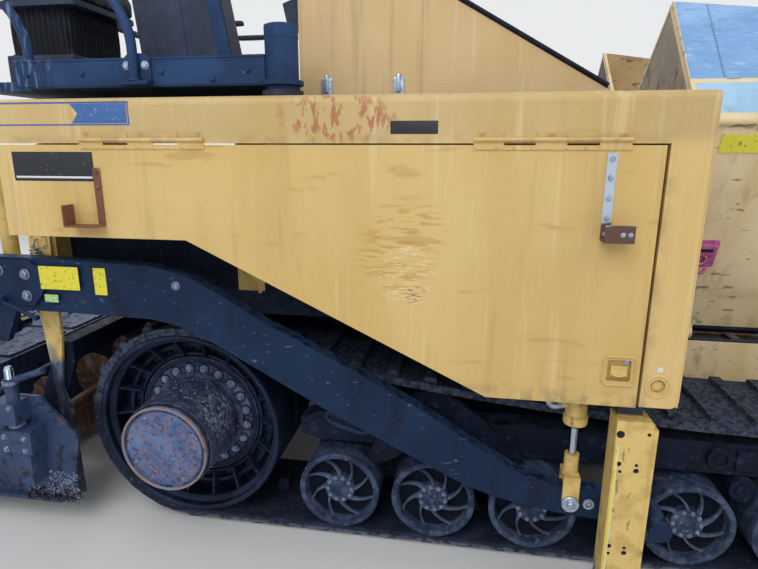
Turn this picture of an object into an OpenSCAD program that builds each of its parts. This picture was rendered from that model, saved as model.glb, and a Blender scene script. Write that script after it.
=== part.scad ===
// Tracked asphalt paver with a tamping screed, parked with the screed and the hopper wings raised.
// Millimetres, +X forward, +Z up. Lengths along the machine are measured from the drive wheel's axle.

/* [Overall] */
// Reach from the drive axle to the front of the push rollers
front_reach = 4330; // [4250:10:4500]
// Height of the deck and of the side panels
deck_h = 1770; // [1720:10:1820]

/* [Tracks] */
// Radius of the drive wheel
drive_r = 405; // [385:1:415]
// Radius of the road wheels
wheel_r = 168; // [158:1:172]
// Radius of the front idler
idler_r = 265; // [240:1:270]
// Drive axle to front idler
idler_x = 2870; // [2820:10:2900]
// Height of the front idler's axle
idler_z = 345; // [330:1:350]
// Width of the belt
belt_w = 457; // [440:1:457]
// Distance from the middle of the machine to the middle of a track
track_y = 1041.5; // [1041.5:0.5:1043.5]
// Thickness of the belt without its bars
belt_t = 30; // [24:1:32]
// Height of the tread bars
bar_h = 20; // [14:1:24]
// Distance from the belt's edge to the ends of its tread bars
bar_in = 18; // [12:1:30]
// Length of a tread bar along the belt
bar_l = 52; // [40:1:60]
// Number of tread bars round a belt
bar_n = 54; // [48:1:58]
// Height of the guide lugs inside the belt
lug_h = 58; // [45:1:60]
// Sag of the belt's upper run
belt_sag = 85; // [60:1:90]
// Gap between the two tyres of a pair, which the lugs run in
lug_gap = 60; // [56:1:66]

/* [Doors] */
// Thickness of the side doors
door_t = 30; // [20:1:34]
// Gap round the doors
door_gap = 5; // [3:1:8]
// Height of the beam over the doors
beam_h = 150; // [130:5:170]
// Distance from a tow arm to the outer face of the door beside it
door_room = 110; // [90:5:130]
// Thickness of the doors' sheet
skin_t = 4; // [3:0.5:6]
// Front edge of the side panel
panel_front = 1838; // [1830:2:1850]
// Rear edge of the side panel
panel_rear = -760; // [-800:5:-740]

/* [Tow arms] */
// Thickness of a tow arm
arm_t = 60; // [50:1:62]
// Gap between a belt and the tow arm beside it
arm_gap = 30; // [26:1:34]
// Height of the tow arm's pin
tow_z = 339; // [330:1:350]
// Distance from the drive axle to the tow arm's pin
tow_x = 1555; // [1545:1:1560]
// Radius of the tow cylinder
tow_cyl_r = 38; // [34:1:40]
// Radius of the tow cylinder's rod
tow_rod_r = 14; // [12:1:16]

/* [Hopper] */
// Rear edge of the hopper wings
wing_x = 1930; // [1920:2:1940]
// Distance from the wings' front edge back to the frame's nose
wing_back = 80; // [70:5:110]
// Thickness of the hopper plates
wing_t = 16; // [12:1:20]
// Height of the wings' hinges
wing_z = 800; // [795:1:810]
// Radius of the wings' hinge tubes
wing_hinge_r = 30; // [26:1:32]
// Radius of the push rollers
push_r = 85; // [75:1:90]

/* [Screed] */
// Height of the raised screed's sole over the ground
screed_z = 150; // [140:1:180]
// Depth of the main screed
screed_d = 540; // [500:5:560]
// Radius of the auger flights
auger_r = 190; // [160:1:195]
// Pitch of the auger flights
auger_pitch = 300; // [250:5:350]
// Radius of the screed's guide tubes
guide_r = 40; // [32:1:44]
// Depth of the walkway behind the screed
walk_d = 345; // [300:5:450]

/* [Platform] */
// Distance from the drive axle to the stations' pivot
pivot_x = 489; // [480:1:495]
// Radius of the stations' pivot tube
pivot_r = 57; // [45:1:60]
// Height of the engine hood
hood_h = 2190; // [2150:10:2250]
// Radius of the handrail tubes
rail_r = 17; // [14:1:20]
// Front of the seats' bases, ahead of the drive axle
seat_x = -440; // [-470:5:-410]

/* [Hidden] */

RIGHT = -1;
LEFT = 1;
slack = 0.3;
touch = 0.02;
$fn = 64;

// Tracks
belt_total = belt_t + bar_h;
drive_z = drive_r + belt_total;
wheel_z = wheel_r + belt_total;
belt_in = track_y - belt_w / 2;
belt_out = track_y + belt_w / 2;
tyre_w = (belt_w - lug_gap) / 2;
// Face of the drive wheel's disc, and the final drive that is bolted to it
disc_y = track_y + 70.5;
hub_r = 200;
hub_flange_r = 270;
// Each row: distance from the drive axle to a road wheel
wheel_xs = [656, 1046, 1437, 2010, 2402];
rail_z0 = 411;
rail_z1 = 540;
rail_in = [track_y - 161, track_y - 56];
rail_out = [track_y + 54, track_y + 159];

// Tractor
seam_h = deck_h - beam_h;
arm_y = belt_out + arm_gap;
arm_out = arm_y + arm_t;
side_y = arm_out + door_room;
frame_y = 650;
frame_t = 30;
frame_top = 1040;
frame_nose = front_reach - 510;
frame_rear = -420;
bulk_x = panel_front - 26;
bulk_t = 22;
lash_front_x = frame_nose - 100;
lash_rear_x = -355;
lash_rear_y = 697;
lash_z = 470;
lash_t = 25;
lash_r = 30;
feed_z = 600;
feed_t = 12;
feed_x0 = -360;
feed_x1 = frame_nose - 180;
door_in = side_y - door_t;
beam_t = 30;
beam_in = side_y - 220;
door_top = seam_h - door_gap;
hinge_r = 6.5;
hinge_y = side_y + hinge_r + slack;
hinge_z = seam_h + 11;
hinge_seg = 92;
// Rear ends of the two piano hinges over a door
hinge_xs = [-195, 1151];

// Tow arms
tow_y = arm_y + arm_t / 2;
tip_x = 1849;
tip_z = 307;
tip_r = 38;
pin_r = 18;

// Hopper
wing_l = frame_nose - wing_back - wing_x;
// Rear ends of the fixed hinge tubes under a wing
wing_hinges = [wing_x + 40, wing_x + wing_l / 2 - 65, wing_x + wing_l - 170];
hinge_l = 90;
wing_pin_r = 15;
push_x = frame_nose + 210;
apron_x = frame_nose + 15;
apron_z = 645;
wing_hinge_y = frame_y + 8;
// Raised wing's section at its rear end: [out from the middle, up]
wing_profile = [[wing_hinge_y + 4, wing_z + 44], [1010, 1700], [915, 1840], [610, 2185]];

// Rear
auger_x = -700;
auger_z = 400;
auger_end = arm_y - 66;
screed_front = -940;
screed_rear = screed_front - screed_d;
ext_front = screed_rear - 20;
ext_rear = ext_front - 360;
ext_out = arm_out + 10;
ext_top = screed_z + 330;
guide_z = ext_top + 80;
walk_y = 1180;
walk_z = 330;
walk_gap = 25;
rear_reach = walk_gap - ext_rear + walk_d;
axle_x = (rear_reach - front_reach) / 2;
lift_x = -790;
lift_top = seam_h - 60;
lift_eye = 860;
lift_y = arm_y - 100;
lift_face = lift_y + 41;

// Placing and shapes
module place() {
    translate([axle_x, 0, 0]) children();
}

// A piece drawn on the right side, put on one side of the machine
module on_side(side) {
    if (side == RIGHT) children();
    if (side == LEFT) mirror([0, 1, 0]) children();
}

module both_sides() {
    on_side(RIGHT) children();
    on_side(LEFT) children();
}

// A side-view outline [x, z] as a plate between two distances from the middle, on the right side
module plate(y0, y1) {
    translate([0, -y0, 0]) rotate([90, 0, 0]) linear_extrude(y1 - y0) children();
}

// A cross-section [y, z] drawn along the machine from x0 to x1
module along_x(x0, x1) {
    translate([x0, 0, 0]) rotate([90, 0, 90]) linear_extrude(x1 - x0) children();
}

// A round bar across the machine, on the right side
module rod_y(x, z, r, y0, y1) {
    translate([x, -y0, z]) rotate([90, 0, 0]) cylinder(r = r, h = y1 - y0);
}

// A block given by its two corners
module block(lo, hi) {
    translate(lo) cube(hi - lo);
}

// A straight round tube between two points of a side view, lying at one distance from the middle
module strut(a, b, y, r) {
    d = b - a;
    translate([a[0], -y, a[1]]) rotate([0, atan2(d[0], d[1]), 0]) cylinder(r = r, h = norm(d));
}

function arc(c, r, a0, a1, n) = [
    for (i = [0:a0 == a1 ? 0 : n]) [c[0] + r * cos(a0 + (a1 - a0) * i / n), c[1] + r * sin(a0 + (a1 - a0) * i / n)]
];

// An arc whose chords touch the circle from outside, so that it clears what turns inside it.
// Both ends lie on the circle.
function arc_round(c, r, a0, a1, n) =
    let (step = (a1 - a0) / n)
    concat(arc(c, r, a0, a0, 1), arc(c, r / cos(step / 2), a0 + step / 2, a1 - step / 2, n - 1), arc(c, r, a1, a1, 1));

// Closed outline of a bent plate: the points of one face, and the same points moved by its thickness
function unit(v) = v / norm(v);
function side_of(v) = [-v[1], v[0]];
function mitre(p, i, t) =
    let (n = len(p))
    let (a = i > 0 ? side_of(unit(p[i] - p[i - 1])) : side_of(unit(p[1] - p[0])))
    let (b = i < n - 1 ? side_of(unit(p[i + 1] - p[i])) : side_of(unit(p[n - 1] - p[n - 2])))
    p[i] + (a + b) * t / (1 + a * b);
function bent_plate(p, t) = concat(p, [for (i = [len(p) - 1:-1:0]) mitre(p, i, t)]);

// The belt's path, offset outward from the face that meets the wheels, counterclockwise from the
// top of the idler to the top of the drive wheel, then round under the wheels
idler_top_a = 92;
drive_top_a = 78.5;
idler_low_a = -86.2;
function sag_run(o, n) =
    let (a = [idler_x, idler_z] + (idler_r + o) * [cos(idler_top_a), sin(idler_top_a)])
    let (b = [0, drive_z] + (drive_r + o) * [cos(drive_top_a), sin(drive_top_a)])
    [for (i = [1:n - 1]) a + (b - a) * i / n - [0, 4 * belt_sag * (i / n) * (1 - i / n)]];
function belt_path(o) = concat(
    arc_round([idler_x, idler_z], idler_r + o, idler_low_a, idler_top_a, 15),
    sag_run(o, 10),
    arc_round([0, drive_z], drive_r + o, drive_top_a, 270, 20),
    [[wheel_xs[4] + 20, belt_total - o]]
);
// Running length along a closed path up to each point, and the place at a given length
function lengths(p, i = 0, s = 0) =
    i == len(p) ? [s] : concat([s], lengths(p, i + 1, s + norm(p[(i + 1) % len(p)] - p[i])));
function leg_at(l, s, i = 0) = s < l[i + 1] || i == len(l) - 2 ? i : leg_at(l, s, i + 1);
function spot(p, l, s) =
    let (i = leg_at(l, s))
    let (d = unit(p[(i + 1) % len(p)] - p[i]))
    [p[i] + d * (s - l[i]), atan2(d[1], d[0])];

// Tractor

module main_frame() {
    cross_z0 = rail_z0 + 9;
    place() color("#2b2f36") {
        both_sides() {
            difference() {
                plate(frame_y - frame_t, frame_y) polygon([
                    [frame_rear, 400], [300, 300], [frame_nose - 320, 300], [frame_nose, 420], [frame_nose, 620],
                    [frame_nose - 120, 760], [wing_x - 10, 760], [wing_x - 50, frame_top], [frame_rear, frame_top]
                ]);
                // Front hole for a lashing shackle
                rod_y(lash_front_x, lash_z, lash_r, frame_y - frame_t - 1, frame_y + 1);
            }
            // Rear lashing tab, with its hole upright
            difference() {
                block([lash_rear_x - 45, -lash_rear_y - 50, lash_z], [lash_rear_x + 45, -frame_y + 1, lash_z + lash_t]);
                translate([lash_rear_x, -lash_rear_y, lash_z - 1]) cylinder(r = lash_r, h = lash_t + 2);
            }
            // Box members that carry the track frames, each with a flange plate at the frame
            for (x = [850, 2150]) {
                block([x, -rail_in[0], cross_z0], [x + 160, -frame_y, rail_z1 - 10]);
                block([x - 40, -frame_y - 15, cross_z0 - 40], [x + 200, -frame_y + 1, rail_z1 + 15]);
            }
            // Rib along the hopper's sill
            block([wing_x + 20, -frame_y - 40, 520], [frame_nose - 130, -frame_y + 1, 535]);
        }
        block([300, -frame_y + 1, 300], [frame_nose - 320, frame_y - 1, 315]);
        block([frame_rear, -frame_y + 1, frame_top - 15], [bulk_x + 3, frame_y - 1, frame_top]);
        block([frame_nose - 40, -frame_y + 1, 420], [frame_nose, frame_y - 1, 620]);
        // Nose with the jaws of the push bar's pivot
        along_x(frame_nose - 1, frame_nose + 120) polygon([[-120, 380], [120, 380], [80, 620], [-80, 620]]);
        for (z = [380, 620 - 22])
            translate([0, 0, z]) linear_extrude(22) union() {
                translate([frame_nose + 119, -80]) square([push_x - frame_nose - 119, 160]);
                translate([push_x, 0]) circle(r = 80);
            }
        translate([push_x, 0, 381]) cylinder(r = 40, h = 238);
        // Hinge lugs of the apron
        for (y = [-522, -398, 378, 502])
            difference() {
                block([frame_nose - 1, y, 580], [frame_nose + 30, y + 20, apron_z + 15]);
                translate([apron_x, y - 1, apron_z]) rotate([-90, 0, 0]) cylinder(r = 8 + slack, h = 22);
            }
        block([feed_x0 + 45, -frame_y + 1, feed_z - feed_t], [feed_x1 - 45, frame_y - 1, feed_z]);
        // Divider between the two feed floors, with a sloped hood in the hopper
        block([frame_rear, -25, feed_z - 1], [wing_x, 25, frame_top - 10]);
        along_x(wing_x - 1, feed_x1 - 45) polygon([[-25, feed_z - 1], [25, feed_z - 1], [25, 625], [0, 655], [-25, 625]]);
        // Bulkhead behind the hopper
        along_x(bulk_x, bulk_x + bulk_t) polygon([
            [-side_y + beam_t + 5, 800], [-frame_y, 800], [-frame_y, frame_top - 10], [frame_y, frame_top - 10],
            [frame_y, 800], [side_y - beam_t - 5, 800], [side_y - beam_t - 5, seam_h + 60],
            [beam_in - 2, seam_h + 60], [beam_in - 2, deck_h - 31], [-beam_in + 2, deck_h - 31],
            [-beam_in + 2, seam_h + 60], [-side_y + beam_t + 5, seam_h + 60]
        ]);
    }
}

module engine_block() {
    place() color("#4a4d50") block([900, -420, frame_top + touch], [1700, 420, seam_h]);
}

// Fuel and hydraulic tanks over the tracks
module tanks() {
    z0 = drive_z + drive_r + belt_total + 45;
    place() color("#26282c") both_sides()
        // The lower outer edge is cut off beside the belt
        along_x(-540 + slack, 620) polygon([
            [-frame_y - 40, z0], [-belt_out + 60, z0], [-lift_y + 50 + slack, z0 + 90],
            [-lift_y + 50 + slack, seam_h - 20], [-frame_y - 40, seam_h - 20]
        ]);
}

// One knuckle with its piece of leaf, which stands on the face at y0
module hinge_knuckle(x, z0, z1, y0, bore) {
    difference() {
        union() {
            translate([x, -hinge_y, hinge_z]) rotate([0, 90, 0]) cylinder(r = hinge_r, h = hinge_seg - slack);
            block([x, -hinge_y + 2.5, z0], [x + hinge_seg - slack, -y0, z1]);
        }
        if (bore > 0)
            translate([x - 1, -hinge_y, hinge_z]) rotate([0, 90, 0]) cylinder(r = bore, h = hinge_seg + 2);
    }
}

module side_panels() {
    top = deck_h;
    r = 26;
    corner = 30;
    pillar_z = 785;
    pillar_x = panel_front - 119;
    place() color("#d9a63c") both_sides() {
        // Upper beam, with its rounded outer edge
        along_x(panel_rear, panel_front) polygon(concat(
            [[-side_y, seam_h]],
            arc([-side_y + r, top - r], r, 180, 90, 5),
            [[-beam_in, top], [-beam_in, top - beam_t], [-side_y + beam_t, top - beam_t],
             [-side_y + beam_t, seam_h]]
        ));
        // Front pillar: its outer sheet with a rounded lower corner, and the folded front
        difference() {
            plate(side_y - beam_t, side_y) union() {
                translate([pillar_x, pillar_z]) square([panel_front - pillar_x - corner, seam_h - pillar_z + 1]);
                translate([pillar_x, pillar_z + corner])
                    square([panel_front - pillar_x, seam_h - pillar_z - corner + 1]);
                translate([panel_front - corner, pillar_z + corner]) circle(r = corner);
            }
            rod_y(1769, 860, 41, side_y - 16, side_y + 1);
        }
        block([panel_front - 3, -side_y + beam_t - 1, pillar_z + corner], [panel_front, -beam_in, seam_h + 1]);
        rod_y(1769, 860, 16, side_y - 17, side_y - 8);
        // Knuckles of the piano hinges on the beam
        for (x = hinge_xs)
            for (i = [1, 3])
                hinge_knuckle(x + i * hinge_seg, hinge_z - 4, hinge_z + 24, side_y - 1, 3 + slack);
        // Rear end plate of the beam
        block([panel_rear, -side_y + 2, seam_h], [panel_rear + 12, -beam_in, top - 2]);
    }
}

module deck() {
    place() color("#3a3d42") {
        block([panel_rear + 14, -beam_in + slack, deck_h - 30], [panel_front - 4, beam_in - slack, deck_h - touch]);
        // Collars of the stations' pivots
        both_sides()
            translate([pivot_x, -beam_in - 50, deck_h + touch]) cylinder(r = pivot_r + 14, h = 27);
    }
}

// Hinge of the sloped lid, over the hood's upper edge
lid_top = [960, hood_h];
lid_foot = [1614, deck_h + 47];
lid_d = unit(lid_foot - lid_top);
lid_n = side_of(lid_d);
lid_axis = lid_top + lid_n * 9.5 + lid_d * 4;
lid_hinges = [-900, -60, 780];

// One knuckle with its leaf, back on the hood or forward on the lid
module lid_knuckle(y, bore, way) {
    foot = way < 0 ? lid_top + [-30, 0] : lid_top + lid_d * 30 + lid_n * 2;
    difference() {
        union() {
            rod_y(lid_axis[0], lid_axis[1], 9, -y - 58, -y);
            translate([0, y + 58, 0]) plate(0, 58)
                polygon([lid_axis + [0, 8], foot + [0, 5], foot, way < 0 ? lid_top + [-4, 0] : lid_top + lid_d * 15 + lid_n * 2]);
        }
        if (bore > 0) rod_y(lid_axis[0], lid_axis[1], bore, -y - 59, -y + 1);
    }
}

module engine_hood() {
    w = 1050;
    t = 20;
    outer = [[474, deck_h], [474, hood_h], [960, hood_h], [1614, deck_h + 47], [1690, deck_h]];
    inner = [[474 + t, deck_h - 1], [474 + t, hood_h - t], [955, hood_h - t], [1600, deck_h + 38], [1650, deck_h - 1]];
    place() color("#d9a63c") difference() {
        translate([0, w, 0]) plate(0, 2 * w) polygon(outer);
        translate([0, w - t, 0]) plate(0, 2 * (w - t)) polygon(inner);
        // Opening under the sloped lid
        block([1010, -w + 60, deck_h + 60], [1560, w - 60, hood_h + 10]);
    }
    place() color("#d9a63c") for (y = lid_hinges) lid_knuckle(y + 62, 5 + slack, -1);
}

// Sloped black lid over the engine, hinged at its upper edge
module hood_lid() {
    w = 1052;
    n = lid_n;
    start = lid_top + lid_d * 14;
    place() color("#1f2226") {
        translate([0, w, 0]) plate(0, 2 * w)
            polygon([start + n * slack, lid_foot + n * slack, lid_foot + n * 18, start + n * 18]);
        for (y = lid_hinges) {
            lid_knuckle(y, 0, 1);
            rod_y(lid_axis[0], lid_axis[1], 5, -y - 118, -y);
        }
    }
}

module side_door(side) {
    z1 = door_top;
    x0 = -530;
    x1 = panel_front - 119 - door_gap - 5;
    rim = 26;
    latch = [1645, 906];
    place() color("#d3a03a") on_side(side) {
        difference() {
            plate(door_in, side_y)
                polygon([[x0, z1], [x0, 1291], [171, 1291], [1226, 781], [x1, 781], [x1, z1]]);
            // The sheet is folded in round its edge and open behind, with two upright stiffeners
            plate(door_in - 1, side_y - skin_t)
                polygon([[x0 + rim, z1 - rim], [x0 + rim, 1291 + rim], [150, 1291 + rim], [150, z1 - rim]]);
            plate(door_in - 1, side_y - skin_t)
                polygon([[190, z1 - rim], [190, 1291 + rim - 9], [900, 938 + rim + 9], [900, z1 - rim]]);
            plate(door_in - 1, side_y - skin_t)
                polygon([[940, z1 - rim], [940, 919 + rim + 9], [1234, 781 + rim], [1580, 781 + rim], [1580, z1 - rim]]);
            // Latch pocket
            block([latch[0] - 44, -side_y - 1, latch[1] - 44], [latch[0] + 44, -side_y + 18, latch[1] + 44]);
        }
        // Paddle of the latch
        block([latch[0] - 25, -side_y + 3, latch[1] - 20], [latch[0] + 27, -side_y + 19, latch[1] + 16]);
        // Door leaves and knuckles of the piano hinges, with the pin
        for (x = hinge_xs) {
            for (i = [0, 2, 4]) hinge_knuckle(x + i * hinge_seg, z1 - 12, hinge_z + 2, side_y + slack, 0);
            block([x, -side_y - 4, z1 - 14], [x + 5 * hinge_seg - slack, -side_y + 1, z1 - 2]);
            translate([x, -hinge_y, hinge_z]) rotate([0, 90, 0]) cylinder(r = 3, h = 5 * hinge_seg - slack);
        }
        // Bent hooks that hold back loose gear
        block([1545, -side_y - 6, seam_h - 288], [1573, -side_y + 1, seam_h - 28]);
        block([1545, -side_y - 70, seam_h - 288], [1629, -side_y - 5, seam_h - 282]);
        block([1545, -side_y - 70, seam_h - 288], [1629, -side_y - 64, seam_h - 235]);
        block([-154, -side_y - 6, seam_h - 286], [-128, -side_y + 1, seam_h - 83]);
        block([-252, -side_y - 60, seam_h - 286], [-128, -side_y - 5, seam_h - 280]);
        block([-252, -side_y - 60, seam_h - 286], [-246, -side_y - 5, seam_h - 210]);
    }
}

// Tracks

module track_frames() {
    arm_half = 20;
    place() color("#23262b") both_sides() {
        for (rail = [rail_in, rail_out])
            plate(rail[0], rail[1]) polygon([
                [480, rail_z0 + 20], [560, rail_z0], [2440, rail_z0], [2540, rail_z0 + 30], [2540, rail_z1 - 40],
                [2440, rail_z1], [560, rail_z1], [480, rail_z1 - 40]
            ]);
        // Cross webs under the lugs' channel
        for (x = [560, 1560, 2350])
            plate(rail_in[1] - 1, rail_out[0] + 1)
                polygon([[x, rail_z0], [x + 90, rail_z0], [x + 90, rail_z0 + 60], [x, rail_z0 + 60]]);
        // Arm to the front idler
        difference() {
            plate(track_y - arm_half, track_y + arm_half) union() {
                polygon([[2420, rail_z0 + 2], [2420, rail_z0 + 62], [idler_x, idler_z + 42], [idler_x, idler_z - 42]]);
                translate([idler_x, idler_z]) circle(r = 55);
            }
            rod_y(idler_x, idler_z, 32 + slack, track_y - 30, track_y + 30);
        }
        // Raised boss with a recessed end on the outer rail
        difference() {
            rod_y(2107, 476, 42, rail_out[1] - 1, rail_out[1] + 16);
            rod_y(2107, 476, 30, rail_out[1] + 8, rail_out[1] + 17);
        }
        rod_y(2107, 476, 15, rail_out[1] + 7, rail_out[1] + 14);
        // Stiffened end plate of the outer rail
        plate(rail_out[1] - 1, rail_out[1] + 8)
            polygon([[2170, rail_z0 + 22], [2500, rail_z0 + 22], [2500, rail_z1 - 24], [2170, rail_z1 - 24]]);
    }
}

module bogies() {
    // Each row: first wheel, last wheel, pivot
    rows = [[wheel_xs[0], wheel_xs[2], wheel_xs[1]], [wheel_xs[3], wheel_xs[4], 2206]];
    pin_z = 478;
    boss_y = rail_out[1] + 24;
    place() color("#23262b") both_sides() {
        for (row = rows) {
            difference() {
                plate(track_y - 19, track_y + 19) union() {
                    polygon([
                        [row[0], wheel_z - 50], [row[1], wheel_z - 50], [row[1], wheel_z + 50],
                        [row[2] + 110, 392], [row[2] + 60, 500], [row[2] - 60, 500], [row[2] - 110, 392],
                        [row[0], wheel_z + 50]
                    ]);
                    for (i = [0, 1]) translate([row[i], wheel_z]) circle(r = 50);
                    translate([row[2], pin_z]) circle(r = 60);
                }
                for (x = wheel_xs) rod_y(x, wheel_z, 32 + slack, track_y - 30, track_y + 30);
            }
            rod_y(row[2], pin_z, 40, rail_in[1] + slack, rail_out[0] - slack);
        }
        // Outer arch over the three wheels, with its round head
        plate(rail_out[1] + touch, boss_y) union() {
            polygon([
                [770, 352], [800, 340], [850, 346], [935, 402], [1165, 402], [1240, 360], [1300, 356], [1350, 372],
                [1400, 398], [1330, 470], [1240, 560], [1130, 640], [940, 640], [870, 590], [812, 470]
            ]);
            translate([1034, 569]) circle(r = 112);
        }
        difference() {
            rod_y(1034, 569, 62, boss_y - 1, boss_y + 20);
            rod_y(1034, 569, 44, boss_y + 10, boss_y + 21);
        }
        rod_y(1034, 569, 18, boss_y + 9, boss_y + 18);
        // Pivot of the rear pair's arm, a pear-shaped boss
        plate(track_y + 18, rail_out[1] + 14) union() {
            translate([2206, 356]) circle(r = 48);
            polygon([[2170, 330], [2206 - 46, 368], [2225, 300]]);
        }
        rod_y(2206, 356, 26, rail_out[1] + 13, rail_out[1] + 20);
    }
}

// One tyred wheel, dished on both sides, with windows between its spokes
module cast_wheel(r, y0, y1, face, spokes, way) {
    rim = r - 22;
    hub = 0.36 * r;
    // A window is round at the rim, narrow at the hub, so that the spokes flare at both ends
    wide = 0.21 * r;
    slim = 0.085 * r;
    out_c = rim - wide - 0.02 * r;
    in_c = hub + slim + 0.06 * r;
    difference() {
        rod_y(0, 0, r, y0, y1);
        // Dish on the outer side, with a step inside the rim, and hollow behind
        rod_y(0, 0, rim, way > 0 ? face + 9 : y0 - 1, way > 0 ? y1 + 1 : face - 9);
        rod_y(0, 0, rim - 8, way > 0 ? y0 - 1 : face + 9, way > 0 ? face - 9 : y1 + 1);
        for (i = [0:spokes - 1])
            translate([0, -face + 12, 0]) rotate([90, 0, 0]) rotate([0, 0, (i + 0.5) * 360 / spokes])
                linear_extrude(24) union() {
                    translate([out_c, 0]) circle(r = wide, $fn = 24);
                    translate([in_c, 0]) circle(r = slim, $fn = 16);
                    polygon([[in_c, -slim], [out_c - 0.3 * wide, -0.95 * wide], [out_c - 0.3 * wide, 0.95 * wide], [in_c, slim]]);
                }
    }
    // Hub with its stepped cap
    rod_y(0, 0, hub, face - (way > 0 ? 30 : 22), face + (way > 0 ? 22 : 30));
    rod_y(0, 0, 0.6 * hub, way > 0 ? face + 21 : face - 38, way > 0 ? face + 38 : face - 21);
}

module wheel_pair(x, z, r, spokes) {
    translate([x, 0, z]) {
        cast_wheel(r, belt_in + touch, belt_in + tyre_w, belt_in + 60, spokes, -1);
        cast_wheel(r, belt_out - tyre_w, belt_out - touch, belt_out - 60, spokes, 1);
        rod_y(0, 0, 32, belt_in + 30, belt_out - 30);
    }
}

module road_wheels() {
    place() color("#5b5852") both_sides() {
        for (x = wheel_xs) wheel_pair(x, wheel_z, wheel_r, 8);
        wheel_pair(idler_x, idler_z, idler_r, 8);
    }
}

module track_belts() {
    outer = belt_path(belt_t);
    inner = belt_path(slack);
    run = lengths(outer);
    inner_run = lengths(inner);
    lug_half = lug_gap / 2 - 8;
    place() color("#1c1d1f") both_sides() {
        plate(belt_in, belt_out) difference() {
            polygon(outer);
            polygon(inner);
        }
        plate(belt_in + bar_in, belt_out - bar_in) intersection() {
            union() for (i = [0:bar_n - 1])
                let (at = spot(outer, run, (i + 0.5) * run[len(outer)] / bar_n))
                    translate(at[0]) rotate(at[1])
                        polygon([[-bar_l / 2, 3], [-bar_l / 2 + 5, -bar_h], [bar_l / 2 - 5, -bar_h], [bar_l / 2, 3]]);
            // Bars that stand on the ground are worn flat
            translate([-drive_r - 100, 0]) square([idler_x + drive_r + idler_r + 200, 2 * drive_z]);
        }
        plate(track_y - lug_half, track_y + lug_half)
            for (i = [0:bar_n - 1])
                let (at = spot(inner, inner_run, (i + 0.5) * inner_run[len(inner)] / bar_n))
                    translate(at[0]) rotate(at[1])
                        polygon([[-32, -6], [32, -6], [20, lug_h], [-20, lug_h]]);
    }
}

module drive_wheels() {
    ribs = 18;
    in_edge = belt_in + tyre_w;
    out_edge = belt_out - tyre_w;
    drum = drive_r - lug_h - 12;
    rim = drive_r - 20;
    disc_r = 282;
    place() color("#202226") both_sides() translate([0, 0, drive_z]) {
        difference() {
            union() {
                rod_y(0, 0, drive_r, belt_in + 2, in_edge);
                rod_y(0, 0, drum, in_edge - 1, out_edge + 1);
                rod_y(0, 0, drive_r, out_edge, belt_out - 2);
            }
            rod_y(0, 0, drum - 14, belt_in + 1, disc_y);
            rod_y(0, 0, rim, belt_in + 1, in_edge - 10);
            rod_y(0, 0, rim, disc_y + 20, belt_out);
            rod_y(0, 0, hub_r + 1, disc_y - 5, disc_y + 30);
            // Windows in the disc between the ribs
            for (i = [0:ribs - 1])
                rotate([0, (i + 0.5) * 360 / ribs, 0])
                    block([disc_r + 12, -disc_y - 21, -30], [drum - 20, -disc_y + 1, 30]);
        }
        // Ribs, and the rolled band that they stand on
        for (i = [0:ribs - 1])
            rotate([0, i * 360 / ribs, 0])
                translate([0, 0, 5]) rotate([180, 0, 0]) linear_extrude(10)
                    polygon([[disc_r, disc_y + 19], [rim + 5, disc_y + 19], [rim + 5, belt_out - 40], [disc_r, disc_y + 60]]);
        difference() {
            rod_y(0, 0, disc_r + 8, disc_y + 19, disc_y + 44);
            rod_y(0, 0, disc_r - 2, disc_y + 18, disc_y + 45);
        }
    }
}

module final_drives() {
    cap_y = side_y - 10;
    place() color("#54483f") both_sides() translate([0, 0, drive_z]) {
        rod_y(0, 0, hub_r, frame_y + touch, disc_y + 21);
        rod_y(0, 0, hub_flange_r, disc_y + 20 + touch, disc_y + 45);
        rod_y(0, 0, 205, disc_y + 44, disc_y + 60);
        rod_y(0, 0, 182, disc_y + 59, cap_y - 45);
        rod_y(0, 0, 172, cap_y - 46, cap_y - 8);
        // Cap with its raised rim
        difference() {
            rod_y(0, 0, 178, cap_y - 24, cap_y);
            rod_y(0, 0, 158, cap_y - 8, cap_y + 1);
        }
    }
}

// Tow points

module tow_posts() {
    x0 = 1660;
    x1 = 1776;
    y0 = arm_out + 12;
    z0 = 60;
    z1 = 722;
    fold = 14;
    // Rows of four bolt holes in the outer face
    bolts = [[1679, 572], [1736, 551], [1678, 249], [1730, 227]];
    place() color("#d9a63c") both_sides() {
        // Guide post, a folded plate with its open side to the arm
        difference() {
            translate([0, 0, z0]) linear_extrude(z1 - z0) polygon([
                [x0, -side_y], [x1, -side_y], [x1, -y0], [x1 - fold, -y0], [x1 - fold, -side_y + fold],
                [x0 + fold, -side_y + fold], [x0 + fold, -y0], [x0, -y0]
            ]);
            for (b = bolts) rod_y(b[0], b[1], 9, side_y - fold + 4, side_y + 1);
        }
        for (b = bolts) rod_y(b[0], b[1], 7, side_y - fold + 3, side_y - 3);
        // Folded tab over its upper end
        block([x0, -side_y, z1 - 1], [x1 - 6, -y0, z1 + 9]);
        // Wear strip in front
        block([x1 - 1, -side_y + 8, 90], [x1 + 18, -y0 - 2, 700]);
        // Carrier behind the panel, up to the upper beam
        block([x0 + 6, -side_y + beam_t + 6, z1 - 7], [x1 - 30, -arm_out - 13, seam_h + 40]);
        block([x0 + 6, -door_in + 6, seam_h - 60], [bulk_x - touch, -frame_y - 60, seam_h - 30]);
        // Arm of the tow cylinder's head
        block([tow_x - 40, -door_in + 8, 1250], [x0 + 10, -tow_y + 30, 1300]);
    }
}

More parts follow.
